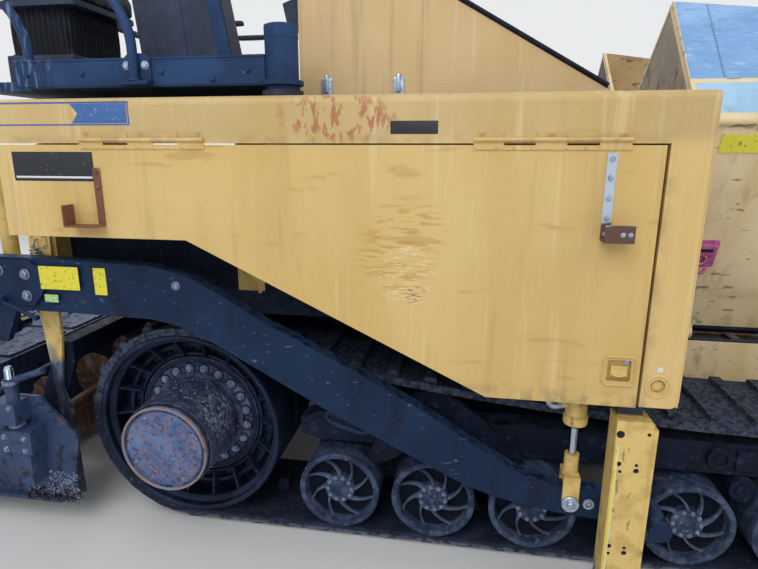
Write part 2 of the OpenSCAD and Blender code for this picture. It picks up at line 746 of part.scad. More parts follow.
module tow_cylinders() {
    z0 = 636;
    z1 = 1196;
    place() color("#d9a63c") both_sides() {
        difference() {
            union() {
                translate([tow_x, -tow_y, z0 + 30]) cylinder(r = tow_cyl_r, h = z1 - z0 - 30);
                // Gland nut with a narrower neck
                translate([tow_x, -tow_y, z0 + 6]) cylinder(r = tow_cyl_r + 3, h = 34);
                translate([tow_x, -tow_y, z0]) cylinder(r = tow_cyl_r - 10, h = 8);
            }
            translate([tow_x, -tow_y, z0 - 1]) cylinder(r = tow_rod_r + slack, h = 545);
        }
        // Cap end and its eye under the arm of the guide post
        translate([tow_x, -tow_y, z1 - 26]) cylinder(r = tow_cyl_r + 4, h = 30);
        translate([tow_x, -tow_y, z1 - 6]) cylinder(r = 20, h = 60 - touch);
        // Ports for the hoses
        translate([tow_x - 30, -tow_y, 712]) rotate([0, -90, 0]) cylinder(r = 14, h = 34);
        translate([tow_x - 30, -tow_y, z1 - 60]) rotate([0, -90, 0]) cylinder(r = 14, h = 34);
    }
}

// Both rods move as one with the arms' front pins
module tow_rods() {
    ear = 15;
    gap = 1.5;
    top = tow_z + 105;
    place() color("#e3b04a") both_sides() {
        translate([tow_x, -tow_y, top - 8]) cylinder(r = tow_rod_r, h = 430);
        translate([tow_x, -tow_y, top - 10]) cylinder(r = 26, h = 85);
        block([tow_x - 29, -tow_y - arm_t / 2 - gap - ear, top - 30],
              [tow_x + 29, -tow_y + arm_t / 2 + gap + ear, top]);
        for (s = [-1, 1])
            translate([0, s * (arm_t / 2 + gap + ear / 2), 0]) plate(tow_y - ear / 2, tow_y + ear / 2) union() {
                translate([tow_x, tow_z]) circle(r = 29);
                translate([tow_x - 29, tow_z]) square([58, top - tow_z - 20]);
            }
        rod_y(tow_x, tow_z, pin_r, arm_y - gap - ear - 1, arm_out + gap + ear + 6);
    }
}

module tow_arms() {
    place() color("#22262d") both_sides() {
        difference() {
            plate(arm_y, arm_out) union() {
                polygon([
                    [tip_x, tip_z - tip_r], [tip_x, tip_z + tip_r], [1659, 384], [1517, 392], [1371, 431],
                    [1221, 519], [994, 662], [652, 842], [391, 969], [200, 1083], [130, 1118], [40, 1150],
                    [-60, 1168], [-534, 1183], [-1180, 1183], [-1235, 1160], [-1250, 1110], [-1250, screed_z + 170],
                    [screed_front - 60, screed_z + 170], [screed_front - 60, 990], [-820, 965],
                    [-459, 965], [-60, 955], [30, 938], [110, 912], [195, 869], [648, 620], [998, 446],
                    [1172, 362], [1280, 326], [1379, 304], [1526, 283], [1661, 273]
                ]);
                translate([tip_x, tip_z]) circle(r = tip_r);
            }
            rod_y(tow_x, tow_z, pin_r + slack, arm_y - 1, arm_out + 1);
        }
        // Roller in front of the guide post
        rod_y(tip_x, tip_z, tip_r, arm_out - 1, side_y - 20);
        // Splice plate of the arm's rear end, rounded in front
        plate(arm_out - 1, arm_out + 14) union() {
            polygon([
                [-1180, 1172], [-560, 1172], [-520, 1150], [-515, 1040], [-560, 990], [-1010, 990],
                [-1060, 940], [-1060, 620], [-1200, 620], [-1220, 1120]
            ]);
            translate([-545, 1095]) circle(r = 55);
        }
        // Bracket and boss for the lift cylinder's rod
        rod_y(lift_x, lift_eye, 40, lift_face + slack, arm_y + 10);
        plate(arm_y + 9, arm_out - 20) polygon([
            [lift_x - 120, 970], [lift_x + 120, 970], [lift_x + 45, lift_eye - 45], [lift_x - 45, lift_eye - 45]
        ]);
    }
}

// Rear of the tractor

module rear_frame() {
    bulk_z = 960;
    post_y = lift_y + 44;
    place() color("#d9a63c") both_sides() {
        // Rear bulkhead beside the feed tunnel
        block([-560, -lift_y - 36, bulk_z], [-540, -frame_y - 1, deck_h - 30 - touch]);
        block([-540.5, -frame_y - 20, bulk_z], [frame_rear + 1, -frame_y - touch, frame_top - 20]);
        // Side blade that keeps the mix in, on an arm from the bulkhead
        plate(post_y, post_y + 14) polygon([
            [-560, 1480], [-647, 1400], [-647, 933], [-633, 757], [-620, 560], [-600, 80], [-552, 62],
            [-560, 468], [-590, 586], [-556, 821], [-556, 1000], [-541, 1480]
        ]);
        block([-640, -post_y - 13, 1340], [-540.5, -lift_y - 35, 1400]);
        // Ears of the lift cylinders
        for (y = [lift_y - 33, lift_y + 23])
            difference() {
                plate(y, y + 10) union() {
                    polygon([
                        [-559, lift_top - 150], [lift_x + 12, lift_top - 30], [lift_x, lift_top + 30], [-559, lift_top + 60]
                    ]);
                    translate([lift_x, lift_top]) circle(r = 30);
                }
                rod_y(lift_x, lift_top, 14 + slack, y - 1, y + 11);
            }
    }
}

module lift_barrels() {
    z0 = lift_top - 440;
    place() color("#d9a63c") both_sides() {
        difference() {
            union() {
                translate([lift_x, -lift_y, z0 + 24]) cylinder(r = 32, h = 346);
                translate([lift_x, -lift_y, z0]) cylinder(r = 35, h = 26);
            }
            translate([lift_x, -lift_y, z0 - 1]) cylinder(r = 18 + slack, h = 366);
        }
        rod_y(lift_x, lift_top, 30, lift_y - 20, lift_y + 20);
        translate([lift_x, -lift_y, lift_top - 71]) cylinder(r = 15, h = 50);
        rod_y(lift_x, lift_top, 14, lift_y - 38, lift_y + 38);
        // Port for the hose
        translate([lift_x + 28, -lift_y, z0 + 330]) rotate([0, 90, 0]) cylinder(r = 12, h = 30);
    }
}

module lift_rods() {
    place() color("#c9ccd0") both_sides() {
        translate([lift_x, -lift_y, lift_eye]) cylinder(r = 18, h = 395);
        rod_y(lift_x, lift_eye, 32, lift_y - 20, lift_face);
    }
}

module auger_frame() {
    place() color("#2a2c30") {
        block([-610, -auger_end, 700], [-530, auger_end, 790]);
        for (y = [-frame_y + 15, frame_y - 15])
            block([-531, y - 15, 650], [frame_rear - touch, y + 15, 800]);
        // Chain case in the middle, round at its foot, with its cover
        translate([0, 40, 0]) plate(0, 80) union() {
            polygon([[auger_x - 70, auger_z], [auger_x - 70, 690], [-600, 690], [auger_x + 70, auger_z]]);
            translate([auger_x, auger_z]) circle(r = 70);
        }
        block([-720, -40, 689], [-540, 40, 830]);
        block([-700, -52, 740], [-560, 52, 812]);
        both_sides() {
            // End hangers with their bearings
            difference() {
                union() {
                    plate(auger_end - 20, auger_end) polygon([
                        [auger_x - 60, auger_z], [auger_x + 60, auger_z], [-531, 700], [-531, 790], [-609, 790]
                    ]);
                    rod_y(auger_x, auger_z, 60, auger_end - 24, auger_end);
                }
                rod_y(auger_x, auger_z, 32 + slack, auger_end - 40, auger_end + 20);
            }
            // Bolted feet that hold the beam's gussets
            for (y = [300, 800])
                plate(y, y + 14) polygon([[-531, 700], [-531, 650], [-545, 640], [-609, 700]]);
        }
    }
}

module auger(side) {
    y0 = 42;
    y1 = auger_end - 30;
    turns = (y1 - y0 - 20) / auger_pitch;
    place() color("#6b4a35") on_side(side) {
        rod_y(auger_x, auger_z, 32, y0, auger_end - 6);
        translate([auger_x, -y0 - 10, auger_z]) rotate([90, 0, 0])
            linear_extrude(height = y1 - y0 - 20, twist = 360 * turns, slices = 60, segments = 4, $fn = 4)
                translate([20, -6]) square([auger_r - 20, 12]);
    }
}

// Hopper

module hopper_frame() {
    place() color("#d9a63c") {
        // Rear wall, on brackets from the bulkhead
        block([wing_x - 50, -600, frame_top + 10], [wing_x - 34, 600, deck_h + 60]);
        for (y = [-500, 490])
            block([bulk_x + bulk_t + touch, y, 1200], [wing_x - 49, y + 12, 1700]);
        // Folded rim along its upper edge
        block([wing_x - 66, -600, deck_h + 40], [wing_x - 49, 600, deck_h + 60]);
        both_sides() {
            // Skirt under the hinge
            plate(frame_y + touch, frame_y + 12) polygon([
                [wing_x + 30, 560], [frame_nose - 220, 560], [frame_nose - 220, 755], [wing_x + 30, 755]
            ]);
            // Hinge tubes and their feet
            for (x = wing_hinges)
                difference() {
                    union() {
                        translate([x, -wing_hinge_y, wing_z]) rotate([0, 90, 0])
                            cylinder(r = wing_hinge_r, h = hinge_l);
                        block([x, -wing_hinge_y - 14, 750], [x + hinge_l, -frame_y - touch, wing_z]);
                    }
                    translate([x - 1, -wing_hinge_y, wing_z]) rotate([0, 90, 0])
                        cylinder(r = wing_pin_r + slack, h = hinge_l + 2);
                }
        }
    }
}

// Two chain conveyors whose bars drag the mix over the feed floor
module conveyors() {
    x0 = feed_x0;
    x1 = feed_x1;
    r = 44;
    t = 12;
    mid = feed_z + slack + t / 2 - r;
    pitch = 260;
    place() color("#6f5138") both_sides() {
        for (y = [45, 560])
            plate(y, y + 30) difference() {
                union() {
                    translate([x0, mid - r - t / 2]) square([x1 - x0, 2 * r + t]);
                    for (x = [x0, x1]) translate([x, mid]) circle(r = r + t / 2);
                }
                translate([x0, mid - r + t / 2]) square([x1 - x0, 2 * r - t]);
                for (x = [x0, x1]) translate([x, mid]) circle(r = r - t / 2);
            }
        // Shafts with their sprockets
        for (x = [x0, x1]) {
            rod_y(x, mid, 18, 25 + slack, frame_y - frame_t - slack);
            for (y = [45, 560]) rod_y(x, mid, r - t / 2 + 0.5, y + 6, y + 24);
        }
        for (x = [x0 + 60:pitch:x1 - 60]) {
            block([x, -565, mid + r - 6], [x + 45, -70, mid + r + 14]);
            block([x, -565, mid - r - 14], [x + 45, -70, mid - r + 6]);
        }
    }
}

module hopper_wing(side) {
    p = wing_profile;
    low = wing_z + 45;
    front = wing_x + wing_l;
    place() color("#d9a63c") on_side(side) {
        intersection() {
            along_x(wing_x, front)
                polygon(bent_plate([for (q = p) [-q[0], q[1]]], wing_t));
            // The upper edge falls toward the front
            translate([0, 1200, 0]) plate(0, 2600) polygon([
                [wing_x, 700], [front, 700], [front, 1960], [wing_x, 2190]
            ]);
        }
        // Rear end wall
        along_x(wing_x, wing_x + wing_t) polygon([
            [-p[0][0], p[0][1]], [-p[1][0], p[1][1]], [-p[2][0], p[2][1]], [-p[3][0], p[3][1]], [-240, 1880]
        ]);
        // Stiffeners on the outer face, and the rolled edge between the plates
        for (x = [wing_x, wing_x + wing_l / 3, wing_x + 2 * wing_l / 3, front - wing_t])
            along_x(x, x + wing_t) polygon([
                [-p[0][0] - 8, low + 40], [-p[0][0] - 74, low + 90], [-p[1][0] - 62, p[1][1] - 40],
                [-p[1][0] - 56, p[1][1] + 20], [-p[2][0] - 10, p[2][1] + 10], [-p[1][0] - 8, p[1][1]]
            ]);
        translate([wing_x, -p[1][0] - 12, p[1][1] + 4]) rotate([0, 90, 0]) cylinder(r = 20, h = wing_l);
        // Hinge tubes and their pins
        for (x = [wing_hinges[0] + hinge_l + 2, wing_hinges[1] + hinge_l + 2, wing_hinges[2] - 100]) {
            translate([x, -wing_hinge_y, wing_z]) rotate([0, 90, 0]) cylinder(r = wing_hinge_r, h = 96);
            block([x, -wing_hinge_y - 20, wing_z + 10], [x + 96, -wing_hinge_y + 12, wing_z + 60]);
        }
        for (x = [wing_hinges[0], wing_hinges[1], wing_hinges[2] - 10])
            translate([x, -wing_hinge_y, wing_z]) rotate([0, 90, 0]) cylinder(r = wing_pin_r, h = 100);
    }
}

module hopper_apron() {
    place() color("#d9a63c") {
        block([apron_x - 7, -600, apron_z + 24], [apron_x + 7, 600, apron_z + 340]);
        // Rim along the top and ribs in front
        block([apron_x - 7, -600, apron_z + 326], [apron_x + 34, 600, apron_z + 340]);
        for (y = [-606 + 12, -210, 198, 582])
            translate([0, -y - 12, 0]) plate(0, 12) polygon([
                [apron_x + 6, apron_z + 60], [apron_x + 34, apron_z + 90], [apron_x + 34, apron_z + 330], [apron_x + 6, apron_z + 330]
            ]);
        for (y = [-500, 400]) {
            translate([apron_x, y, apron_z]) rotate([-90, 0, 0]) cylinder(r = 12, h = 100);
            translate([apron_x, y - 20, apron_z]) rotate([-90, 0, 0]) cylinder(r = 8, h = 140);
            block([apron_x - 7, y, apron_z], [apron_x + 7, y + 100, apron_z + 25]);
        }
    }
}

module push_bar() {
    x = push_x - 60;
    place() color("#2a2c30") {
        difference() {
            block([x, -1080, 410], [x + 130, 1080, 590]);
            translate([push_x, 0, 400]) cylinder(r = 40 + slack, h = 200);
        }
        for (y = [-1080, -60, 30, 1050])
            difference() {
                block([x + 129, y, 430], [front_reach - push_r + 40, y + 30, 570]);
                translate([front_reach - push_r, y - 1, 500]) rotate([-90, 0, 0]) cylinder(r = 25 + slack, h = 32);
            }
    }
}

module push_roller(side) {
    place() color("#8a8d90") on_side(side) {
        rod_y(front_reach - push_r, 500, push_r, 70, 1040);
        rod_y(front_reach - push_r, 500, 25, 32, 1078);
    }
}

// Screed

module screed_body() {
    box_top = screed_z + 350;
    place() color("#6e706f") {
        // Sole, box and moulding board
        both_sides() {
            difference() {
                block([screed_rear, -arm_y + slack, screed_z], [screed_front, -4, box_top]);
                block([screed_rear + 20, -arm_y + 25, screed_z + 30], [screed_front - 20, -24, box_top - 20]);
            }
            block([screed_front - 1, -arm_y + 30, screed_z + 30], [screed_front + 14, -4, screed_z + 380]);
            // Ribs of the moulding board and its rolled upper edge
            for (y = [60, arm_y / 2, arm_y - 90])
                block([screed_front + 13, -y - 12, screed_z + 120], [screed_front + 30, -y, screed_z + 370]);
            rod_y(screed_front + 12, screed_z + 380, 16, 4, arm_y - 30);
            // Tamper bar under the board's lower edge
            block([screed_front - 1, -arm_y + 20, screed_z + 6], [screed_front + 24, -10, screed_z + 62]);
            // Lids over the heating, with a gap between them
            for (y = [arm_y / 3, 2 * arm_y / 3])
                block([screed_rear + 60, -y - arm_y / 6 + 20, screed_z + 469],
                      [screed_front - 80, -y + arm_y / 6 - 40, screed_z + 480]);
            // Bearing brackets of the guide tubes
            for (y = [20, arm_y - 45])
                plate(y, y + 30) polygon([
                    [screed_rear + 60, screed_z + 340], [screed_rear + 60, guide_z + 70], [ext_rear + 60, guide_z + 70],
                    [ext_rear + 60, ext_top + 15], [screed_rear + 1, ext_top + 15]
                ]);
            for (x = [ext_front - 90, ext_rear + 120])
                rod_y(x, guide_z, guide_r, 30, arm_y - 25);
        }
        block([screed_rear + 40, -arm_y + 60, box_top - 1], [screed_front - 60, arm_y - 60, screed_z + 470]);
    }
}

module screed_walkway() {
    plate_t = 15;
    top = walk_z + plate_t;
    x1 = ext_rear - walk_gap;
    hang = screed_z + 470.02;
    place() color("#3a3d42") {
        block([-rear_reach, -walk_y, walk_z], [x1, walk_y, top]);
        // Toe board along the rear and the two ends
        block([-rear_reach, -walk_y, top - 1], [-rear_reach + 8, walk_y, top + 55]);
        for (s = [-walk_y, walk_y - 8]) block([-rear_reach, s, top - 1], [x1 - 45, s + 8, top + 55]);
        // Hangers from the screed's box
        for (s = [-walk_y + 20, -10, walk_y - 40])
            translate([0, -s, 0]) plate(0, 20) polygon([
                [screed_rear + 100, hang], [screed_rear + 100, guide_z + 150], [x1 - 35, guide_z + 150],
                [x1 - 35, top - 1], [x1 - 1, top - 1], [x1 - 1, guide_z + 110], [screed_rear + 40, guide_z + 110],
                [screed_rear + 40, hang]
            ]);
    }
}

module screed_extender(side) {
    stand_x = ext_rear + 150;
    place() color("#6e706f") on_side(side) {
        difference() {
            block([ext_rear, -ext_out, screed_z], [ext_front, -15, ext_top]);
            block([ext_rear + 20, -ext_out + 25, screed_z + 30], [ext_front - 20, -40, ext_top - 20]);
        }
        // Vertical guides of the end gate
        for (x = [ext_rear + 40, ext_front - 100])
            block([x, -ext_out - 10 + slack, screed_z + 20], [x + 60, -ext_out + 1, ext_top - 20]);
        // Slide shoe round the guide tubes
        difference() {
            block([ext_rear + 62, -290, ext_top - 1], [ext_front - 30, -90, guide_z + 60]);
            for (x = [ext_front - 90, ext_rear + 120])
                rod_y(x, guide_z, guide_r + slack, 50, 320);
        }
        // Stand with the screed's control box
        block([stand_x, -ext_out + 10, ext_top - 1], [stand_x + 60, -ext_out + 55, 1010]);
        plate(ext_out - 190, ext_out - 5) polygon([
            [stand_x - 50, 1009], [stand_x + 110, 1009], [stand_x + 110, 1150], [stand_x - 50, 1090]
        ]);
    }
}

module end_gate(side) {
    y = ext_out + 10;
    foot = screed_z - 28;
    jack_x = -655;
    jack_y = ext_out + 70;
    place() color("#77797a") on_side(side) {
        plate(y, y + 15) polygon([
            [-534, foot], [-480, foot + 60], [-427, 434], [-587, 603], [-700, 603], [-760, 480],
            [ext_rear - 20, 480], [ext_rear - 20, foot]
        ]);
        // Sole runner with its turned-up front
        block([ext_rear - 20, -y - 40, foot], [-534, -y - 14, foot + 15]);
        // Square post of the jack, the block it runs in, its collar and the crank's tube
        block([jack_x - 55, -jack_y - 30, foot + 113], [jack_x + 55, -y - 14, screed_z + 234]);
        block([jack_x - 65, -jack_y - 42, screed_z + 233], [jack_x + 80, -y - 14, screed_z + 332]);
        block([jack_x - 90, -jack_y - 36, screed_z + 354], [jack_x + 20, -y - 14, screed_z + 450]);
        translate([jack_x - 10, -jack_y, screed_z + 331]) cylinder(r = 24, h = 215);
        strut([jack_x + 5, 690], [jack_x + 150, 742], jack_y, 13);
        // Rear jack
        translate([ext_rear + 120, -jack_y, foot + 100]) cylinder(r = 24, h = 420);
        block([ext_rear + 85, -jack_y - 35, foot + 180], [ext_rear + 155, -y - 14, foot + 300]);
        strut([ext_rear + 60, foot + 505], [ext_rear + 180, foot + 505], jack_y, 11);
    }
}

// Platform

module handrails() {
    x0 = panel_rear + 33;
    y0 = 500;
    y1 = 40;
    bend = 70;
    h = 900;
    place() color("#22252a") both_sides() {
        // Bent hoop between the stations, with a knee rail and two foot plates
        for (y = [y0, y1]) {
            translate([x0, -y, deck_h]) cylinder(r = rail_r, h = h - bend);
            translate([x0, -y, deck_h]) cylinder(r = rail_r + 18, h = 8);
        }
        translate([x0, -y0 + bend, deck_h + h - bend]) rotate([90, 0, -90]) rotate_extrude(angle = 90)
            translate([bend, 0]) circle(r = rail_r);
        translate([x0, -y1 - bend, deck_h + h - bend]) rotate([90, 0, 90]) rotate_extrude(angle = 90)
            translate([bend, 0]) circle(r = rail_r);
        rod_y(x0, deck_h + h, rail_r, y1 + bend, y0 - bend);
        rod_y(x0, deck_h + h / 2, rail_r, y1, y0);
    }
}

// Tube that stands up from the origin and curves to the rear: upright length, radius and angle of the curve
module bent_rail(h, bend, angle) {
    cylinder(r = rail_r, h = h);
    translate([-bend, 0, h]) rotate([90, 0, 0]) rotate_extrude(angle = angle) translate([bend, 0]) circle(r = rail_r);
}

module station(side) {
    z0 = deck_h + 46;
    place() color("#23272f") on_side(side) {
        // Beam along the outer edge and floor frame
        block([-524, -1340, z0], [440, -1260, z0 + 98]);
        block([seat_x - 330, -1261, z0], [440, -560, z0 + 34]);
        translate([pivot_x, -beam_in - 50, deck_h + 27 + slack]) cylinder(r = pivot_r, h = 210);
        block([430, -1335, z0 + 5], [pivot_x, -1265, z0 + 90]);
        // Bent handrail that stands on a bracket over the beam's side, and the rear one on its end
        translate([-34, -1358, z0 + 12]) bent_rail(110, 260, 55);
        block([-88, -1380, z0 + 4], [26, -1339, z0 + 13]);
        translate([-490, -1300, z0 + 97]) bent_rail(20, 260, 42);
    }
}

module seat(side) {
    z0 = deck_h + 46 + 34 + touch;
    mid = 940;
    place() color("#2b2d31") on_side(side) translate([seat_x, 0, 0]) {
        // Base box with the ribs of its bellows
        block([-300, -mid - 180, z0], [0, -mid + 180, z0 + 120]);
        block([-275, -mid - 155, z0 + 119], [-25, -mid + 155, z0 + 300]);
        for (i = [0:3])
            block([-295, -mid - 172, z0 + 134 + 40 * i], [-5, -mid + 172, z0 + 156 + 40 * i]);
        // Cushion and backrest with rounded edges
        plate(mid - 230, mid + 230) union() {
            translate([-310, z0 + 299]) square([370, 80]);
            translate([20, z0 + 339]) circle(r = 60);
            translate([-325, z0 + 355]) circle(r = 45);
        }
        translate([-320, 0, z0 + 330]) rotate([0, -8, 0]) plate(mid - 215, mid + 215) union() {
            translate([-50, 0]) square([90, 520]);
            translate([-5, 520]) circle(r = 45);
            translate([40, 150]) circle(r = 30);
        }
        // Armrests
        for (y = [mid - 265, mid + 225])
            plate(y, y + 40) union() {
                translate([-310, z0 + 540]) square([280, 36]);
                translate([-30, z0 + 558]) circle(r = 18);
                translate([-310, z0 + 400]) square([50, 141]);
                translate([-290, z0 + 380]) circle(r = 30);
            }
        for (s = [-1, 1])
            block([-305, s > 0 ? -mid + 210 : -mid - 245, z0 + 360], [-265, s > 0 ? -mid + 245 : -mid - 210, z0 + 420]);
    }
}

module console(side) {
    z0 = deck_h + 46 + 34 + touch;
    place() color("#23272f") on_side(side) {
        // Side wall and the sloped desk that it carries
        plate(1150, 1240) polygon([
            [-60, z0], [300, z0], [190, z0 + 620], [120, z0 + 800], [-150, z0 + 700], [-120, z0 + 560]
        ]);
        plate(620, 1151) polygon([
            [215, z0 + 480], [190, z0 + 620], [120, z0 + 800], [-150, z0 + 700], [-120, z0 + 560]
        ]);
    }
}

main_frame();
engine_block();
tanks();
side_panels();
deck();
engine_hood();
hood_lid();
side_door(RIGHT);  // side_door_right
side_door(LEFT);  // side_door_left
track_frames();
bogies();
road_wheels();
track_belts();
drive_wheels();
final_drives();
tow_posts();
tow_cylinders();
tow_rods();
tow_arms();
rear_frame();
lift_barrels();
lift_rods();
auger_frame();
auger(RIGHT);  // auger_right
auger(LEFT);  // auger_left
hopper_frame();
conveyors();
hopper_wing(RIGHT);  // hopper_wing_right
hopper_wing(LEFT);  // hopper_wing_left
hopper_apron();
push_bar();
push_roller(RIGHT);  // push_roller_right
push_roller(LEFT);  // push_roller_left
screed_body();
screed_walkway();
screed_extender(RIGHT);  // screed_extender_right
screed_extender(LEFT);  // screed_extender_left
end_gate(RIGHT);  // end_gate_right
end_gate(LEFT);  // end_gate_left
handrails();
station(RIGHT);  // station_right
seat(RIGHT);  // seat_right
console(RIGHT);  // console_right
station(LEFT);  // station_left
seat(LEFT);  // seat_left
console(LEFT);  // console_left
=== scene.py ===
from math import radians

import bmesh
import bpy
import numpy as np
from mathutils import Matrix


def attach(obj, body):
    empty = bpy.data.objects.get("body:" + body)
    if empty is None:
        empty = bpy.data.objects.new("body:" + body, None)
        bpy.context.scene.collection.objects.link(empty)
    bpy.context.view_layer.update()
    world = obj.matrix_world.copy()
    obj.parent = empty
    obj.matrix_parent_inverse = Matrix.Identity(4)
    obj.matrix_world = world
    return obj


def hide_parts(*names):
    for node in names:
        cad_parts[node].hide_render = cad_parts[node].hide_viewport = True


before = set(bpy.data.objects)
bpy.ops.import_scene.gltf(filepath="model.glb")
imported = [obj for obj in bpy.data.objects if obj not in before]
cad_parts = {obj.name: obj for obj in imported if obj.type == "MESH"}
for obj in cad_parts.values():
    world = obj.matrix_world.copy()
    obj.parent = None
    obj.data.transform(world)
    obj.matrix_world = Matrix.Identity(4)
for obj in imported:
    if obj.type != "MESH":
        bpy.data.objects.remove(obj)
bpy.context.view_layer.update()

scene = bpy.context.scene
print("packed model loaded, nodes:", len(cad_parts))

# Lengths below are in millimetres, X counted from the drive wheel's axle, as in the part's source
axleX = -1050.0

photoCamera = {
    "place": (1149.0, -3229.0, 1600.0),
    "tilt": 76.17,
    "turn": 9.45,
    "roll": -0.12,
    "lens": 25.98,
}

studio = {
    "floorHex": "#D9DADB",
    "skyHex": "#F1F2F3",
    "skyStrength": 0.67,
    "seenSkyHex": "#E9EBED",
    "lamps": [
        # place in metres, aim in metres, size, power
        ((-1.5, -7.0, 6.5), (0.0, 0.0, 0.6), 5.0, 284.0),
        ((6.5, -3.0, 5.0), (0.5, 0.0, 0.8), 4.0, 103.0),
        ((-6.0, 5.0, 6.0), (0.0, 0.0, 0.8), 5.0, 172.0),
    ],
}


def srgbToLinear(hexText):
    channels = [int(hexText[i:i + 2], 16) / 255 for i in (1, 3, 5)]
    linear = [c / 12.92 if c <= 0.04045 else ((c + 0.055) / 1.055) ** 2.4 for c in channels]
    return (*linear, 1.0)


def toMetres(points):
    # shift along X to the shared frame, then millimetres to metres
    return (np.asarray(points, float) + (axleX, 0.0, 0.0)) / 1000.0


def addNode(tree, kind, settings=None, links=None):
    node = tree.nodes.new(kind)
    for key, value in (settings or {}).items():
        if isinstance(key, int) or key[0].isupper():
            node.inputs[key].default_value = value
        else:
            setattr(node, key, value)
    for key, source in (links or {}).items():
        tree.links.new(source, node.inputs[key])
    return node


def timesOf(tree, a, b):
    return addNode(tree, "ShaderNodeMath", {"operation": "MULTIPLY"}, {0: a, 1: b}).outputs[0]


def maskOf(tree, spot, mask):
    # each mask is a grey value from 0 to 1 over the surface; sizes are in millimetres, places in metres
    kind, low, high = mask["kind"], mask.get("low"), mask.get("high")
    if kind == "patch":
        # soft-edged patch round a place
        mapped = addNode(tree, "ShaderNodeMapping", {
            "vector_type": "TEXTURE", "Location": mask["at"], "Rotation": mask.get("turn", (0, 0, 0)),
            "Scale": mask["reach"],
        }, {"Vector": spot})
        source = addNode(tree, "ShaderNodeVectorMath", {"operation": "LENGTH"},
                         {0: mapped.outputs[0]}).outputs["Value"]
        low, high = 1.0, mask.get("core", 0.5)
    elif kind in ("along", "facing"):
        vector = spot if kind == "along" else addNode(tree, "ShaderNodeNewGeometry").outputs["Normal"]
        source = addNode(tree, "ShaderNodeSeparateXYZ", {}, {0: vector}).outputs["XYZ".index(mask["axis"])]
    else:
        mapped = addNode(tree, "ShaderNodeMapping", {
            "Location": mask.get("seed", (0, 0, 0)), "Rotation": mask.get("turn", (0, 0, 0)),
            "Scale": mask.get("stretch", (1, 1, 1)),
        }, {"Vector": spot})
        settings = {"Scale": 1000 / mask["size"]}
        if kind == "noise":
            settings.update({"Detail": mask.get("detail", 4.0), "Roughness": 0.55})
        else:
            low, high = high, low
        pattern = "ShaderNodeTexNoise" if kind == "noise" else "ShaderNodeTexVoronoi"
        source = addNode(tree, pattern, settings, {"Vector": mapped.outputs[0]}).outputs[0]
    ramp = addNode(tree, "ShaderNodeMapRange", {
        "interpolation_type": "SMOOTHSTEP", "From Min": low, "From Max": high, "To Max": mask.get("amount", 1.0),
    }, {"Value": source})
    return ramp.outputs[0]


def productOf(tree, spot, masks):
    # masks of one layer multiply each other
    grey = None
    for mask in masks:
        here = maskOf(tree, spot, mask)
        grey = here if grey is None else timesOf(tree, grey, here)
    return grey


def makeMaterial(name, look):
    material = bpy.data.materials.new(name)
    material.use_nodes = True
    tree = material.node_tree
    tree.nodes.clear()
    base, rough = srgbToLinear(look["hex"]), look.get("roughness", 0.5)
    spot = addNode(tree, "ShaderNodeTexCoord").outputs["Object"]
    shader = addNode(tree, "ShaderNodeBsdfPrincipled", {
        "Base Color": base, "Roughness": rough, "Metallic": look.get("metallic", 0.0), "IOR": look.get("ior", 1.5),
        "Coat Weight": look.get("coat", 0.0), "Coat Roughness": 0.2,
    })
    # each layer is mixed over what lies below it
    below = {}
    for coat in look["layers"]:
        factor = productOf(tree, spot, coat["masks"])
        mixes = [("Base Color", "RGBA", 6, base, srgbToLinear(coat["hex"]), 2)]
        if "roughness" in coat:
            mixes.append(("Roughness", "FLOAT", 2, rough, coat["roughness"], 0))
        for goal, kind, socket, under, over, result in mixes:
            mix = addNode(tree, "ShaderNodeMix", {"data_type": kind, socket: under, socket + 1: over}, {0: factor})
            if goal in below:
                tree.links.new(below[goal], mix.inputs[socket])
            below[goal] = mix.outputs[result]
    for relief in look.get("bumps", []):
        height = productOf(tree, spot, relief["masks"])
        node = addNode(tree, "ShaderNodeBump", {"Strength": 1.0, "Distance": relief["depth"] / 1000},
                       {"Height": height})
        if "Normal" in below:
            tree.links.new(below["Normal"], node.inputs["Normal"])
        below["Normal"] = node.outputs[0]
    for goal, source in below.items():
        tree.links.new(source, shader.inputs[goal])
    addNode(tree, "ShaderNodeOutputMaterial", {}, {"Surface": shader.outputs[0]})
    return material


def noise(size, low=0.4, high=0.6, **more):
    return {"kind": "noise", "size": size, "low": low, "high": high, **more}


def along(axis, low, high, **more):
    return {"kind": "along", "axis": axis, "low": low, "high": high, **more}


def facingUp(low, high):
    return {"kind": "facing", "axis": "Z", "low": low, "high": high}


def cells(size, low, high, **more):
    return {"kind": "cell", "size": size, "low": low, "high": high, **more}


def patch(at, reach, **more):
    return {"kind": "patch", "at": at, "reach": reach, **more}


def layer(hexText, *masks, **more):
    return {"hex": hexText, "masks": masks, **more}


def bump(depth, *masks):
    # depth in millimetres
    return {"depth": depth, "masks": masks}


# Alkyd machine enamel, sprayed and chalked by the sun: satin, with rain streaks, thin dirt and rubbed spots
paintWear = [
    layer("#DEC48E", noise(900, 0.35, 0.75, amount=0.55)),
    layer("#C29F5C", noise(260, 0.42, 0.7, stretch=(1, 1, 0.18), amount=0.42)),
    layer("#E4CFA0", noise(34, 0.58, 0.72, stretch=(1, 1, 0.05), seed=(4, 1, 0), amount=0.4)),
    layer("#A58C64", noise(60, 0.56, 0.72, stretch=(1, 1, 0.08), amount=0.38), roughness=0.6),
    layer("#6B5A44", noise(14, 0.68, 0.74, amount=0.5), roughness=0.7),
]
orangePeel = bump(0.25, noise(9, 0.3, 0.7, detail=1.0))
dents = bump(5.0, noise(420, 0.3, 0.75, detail=1.5))


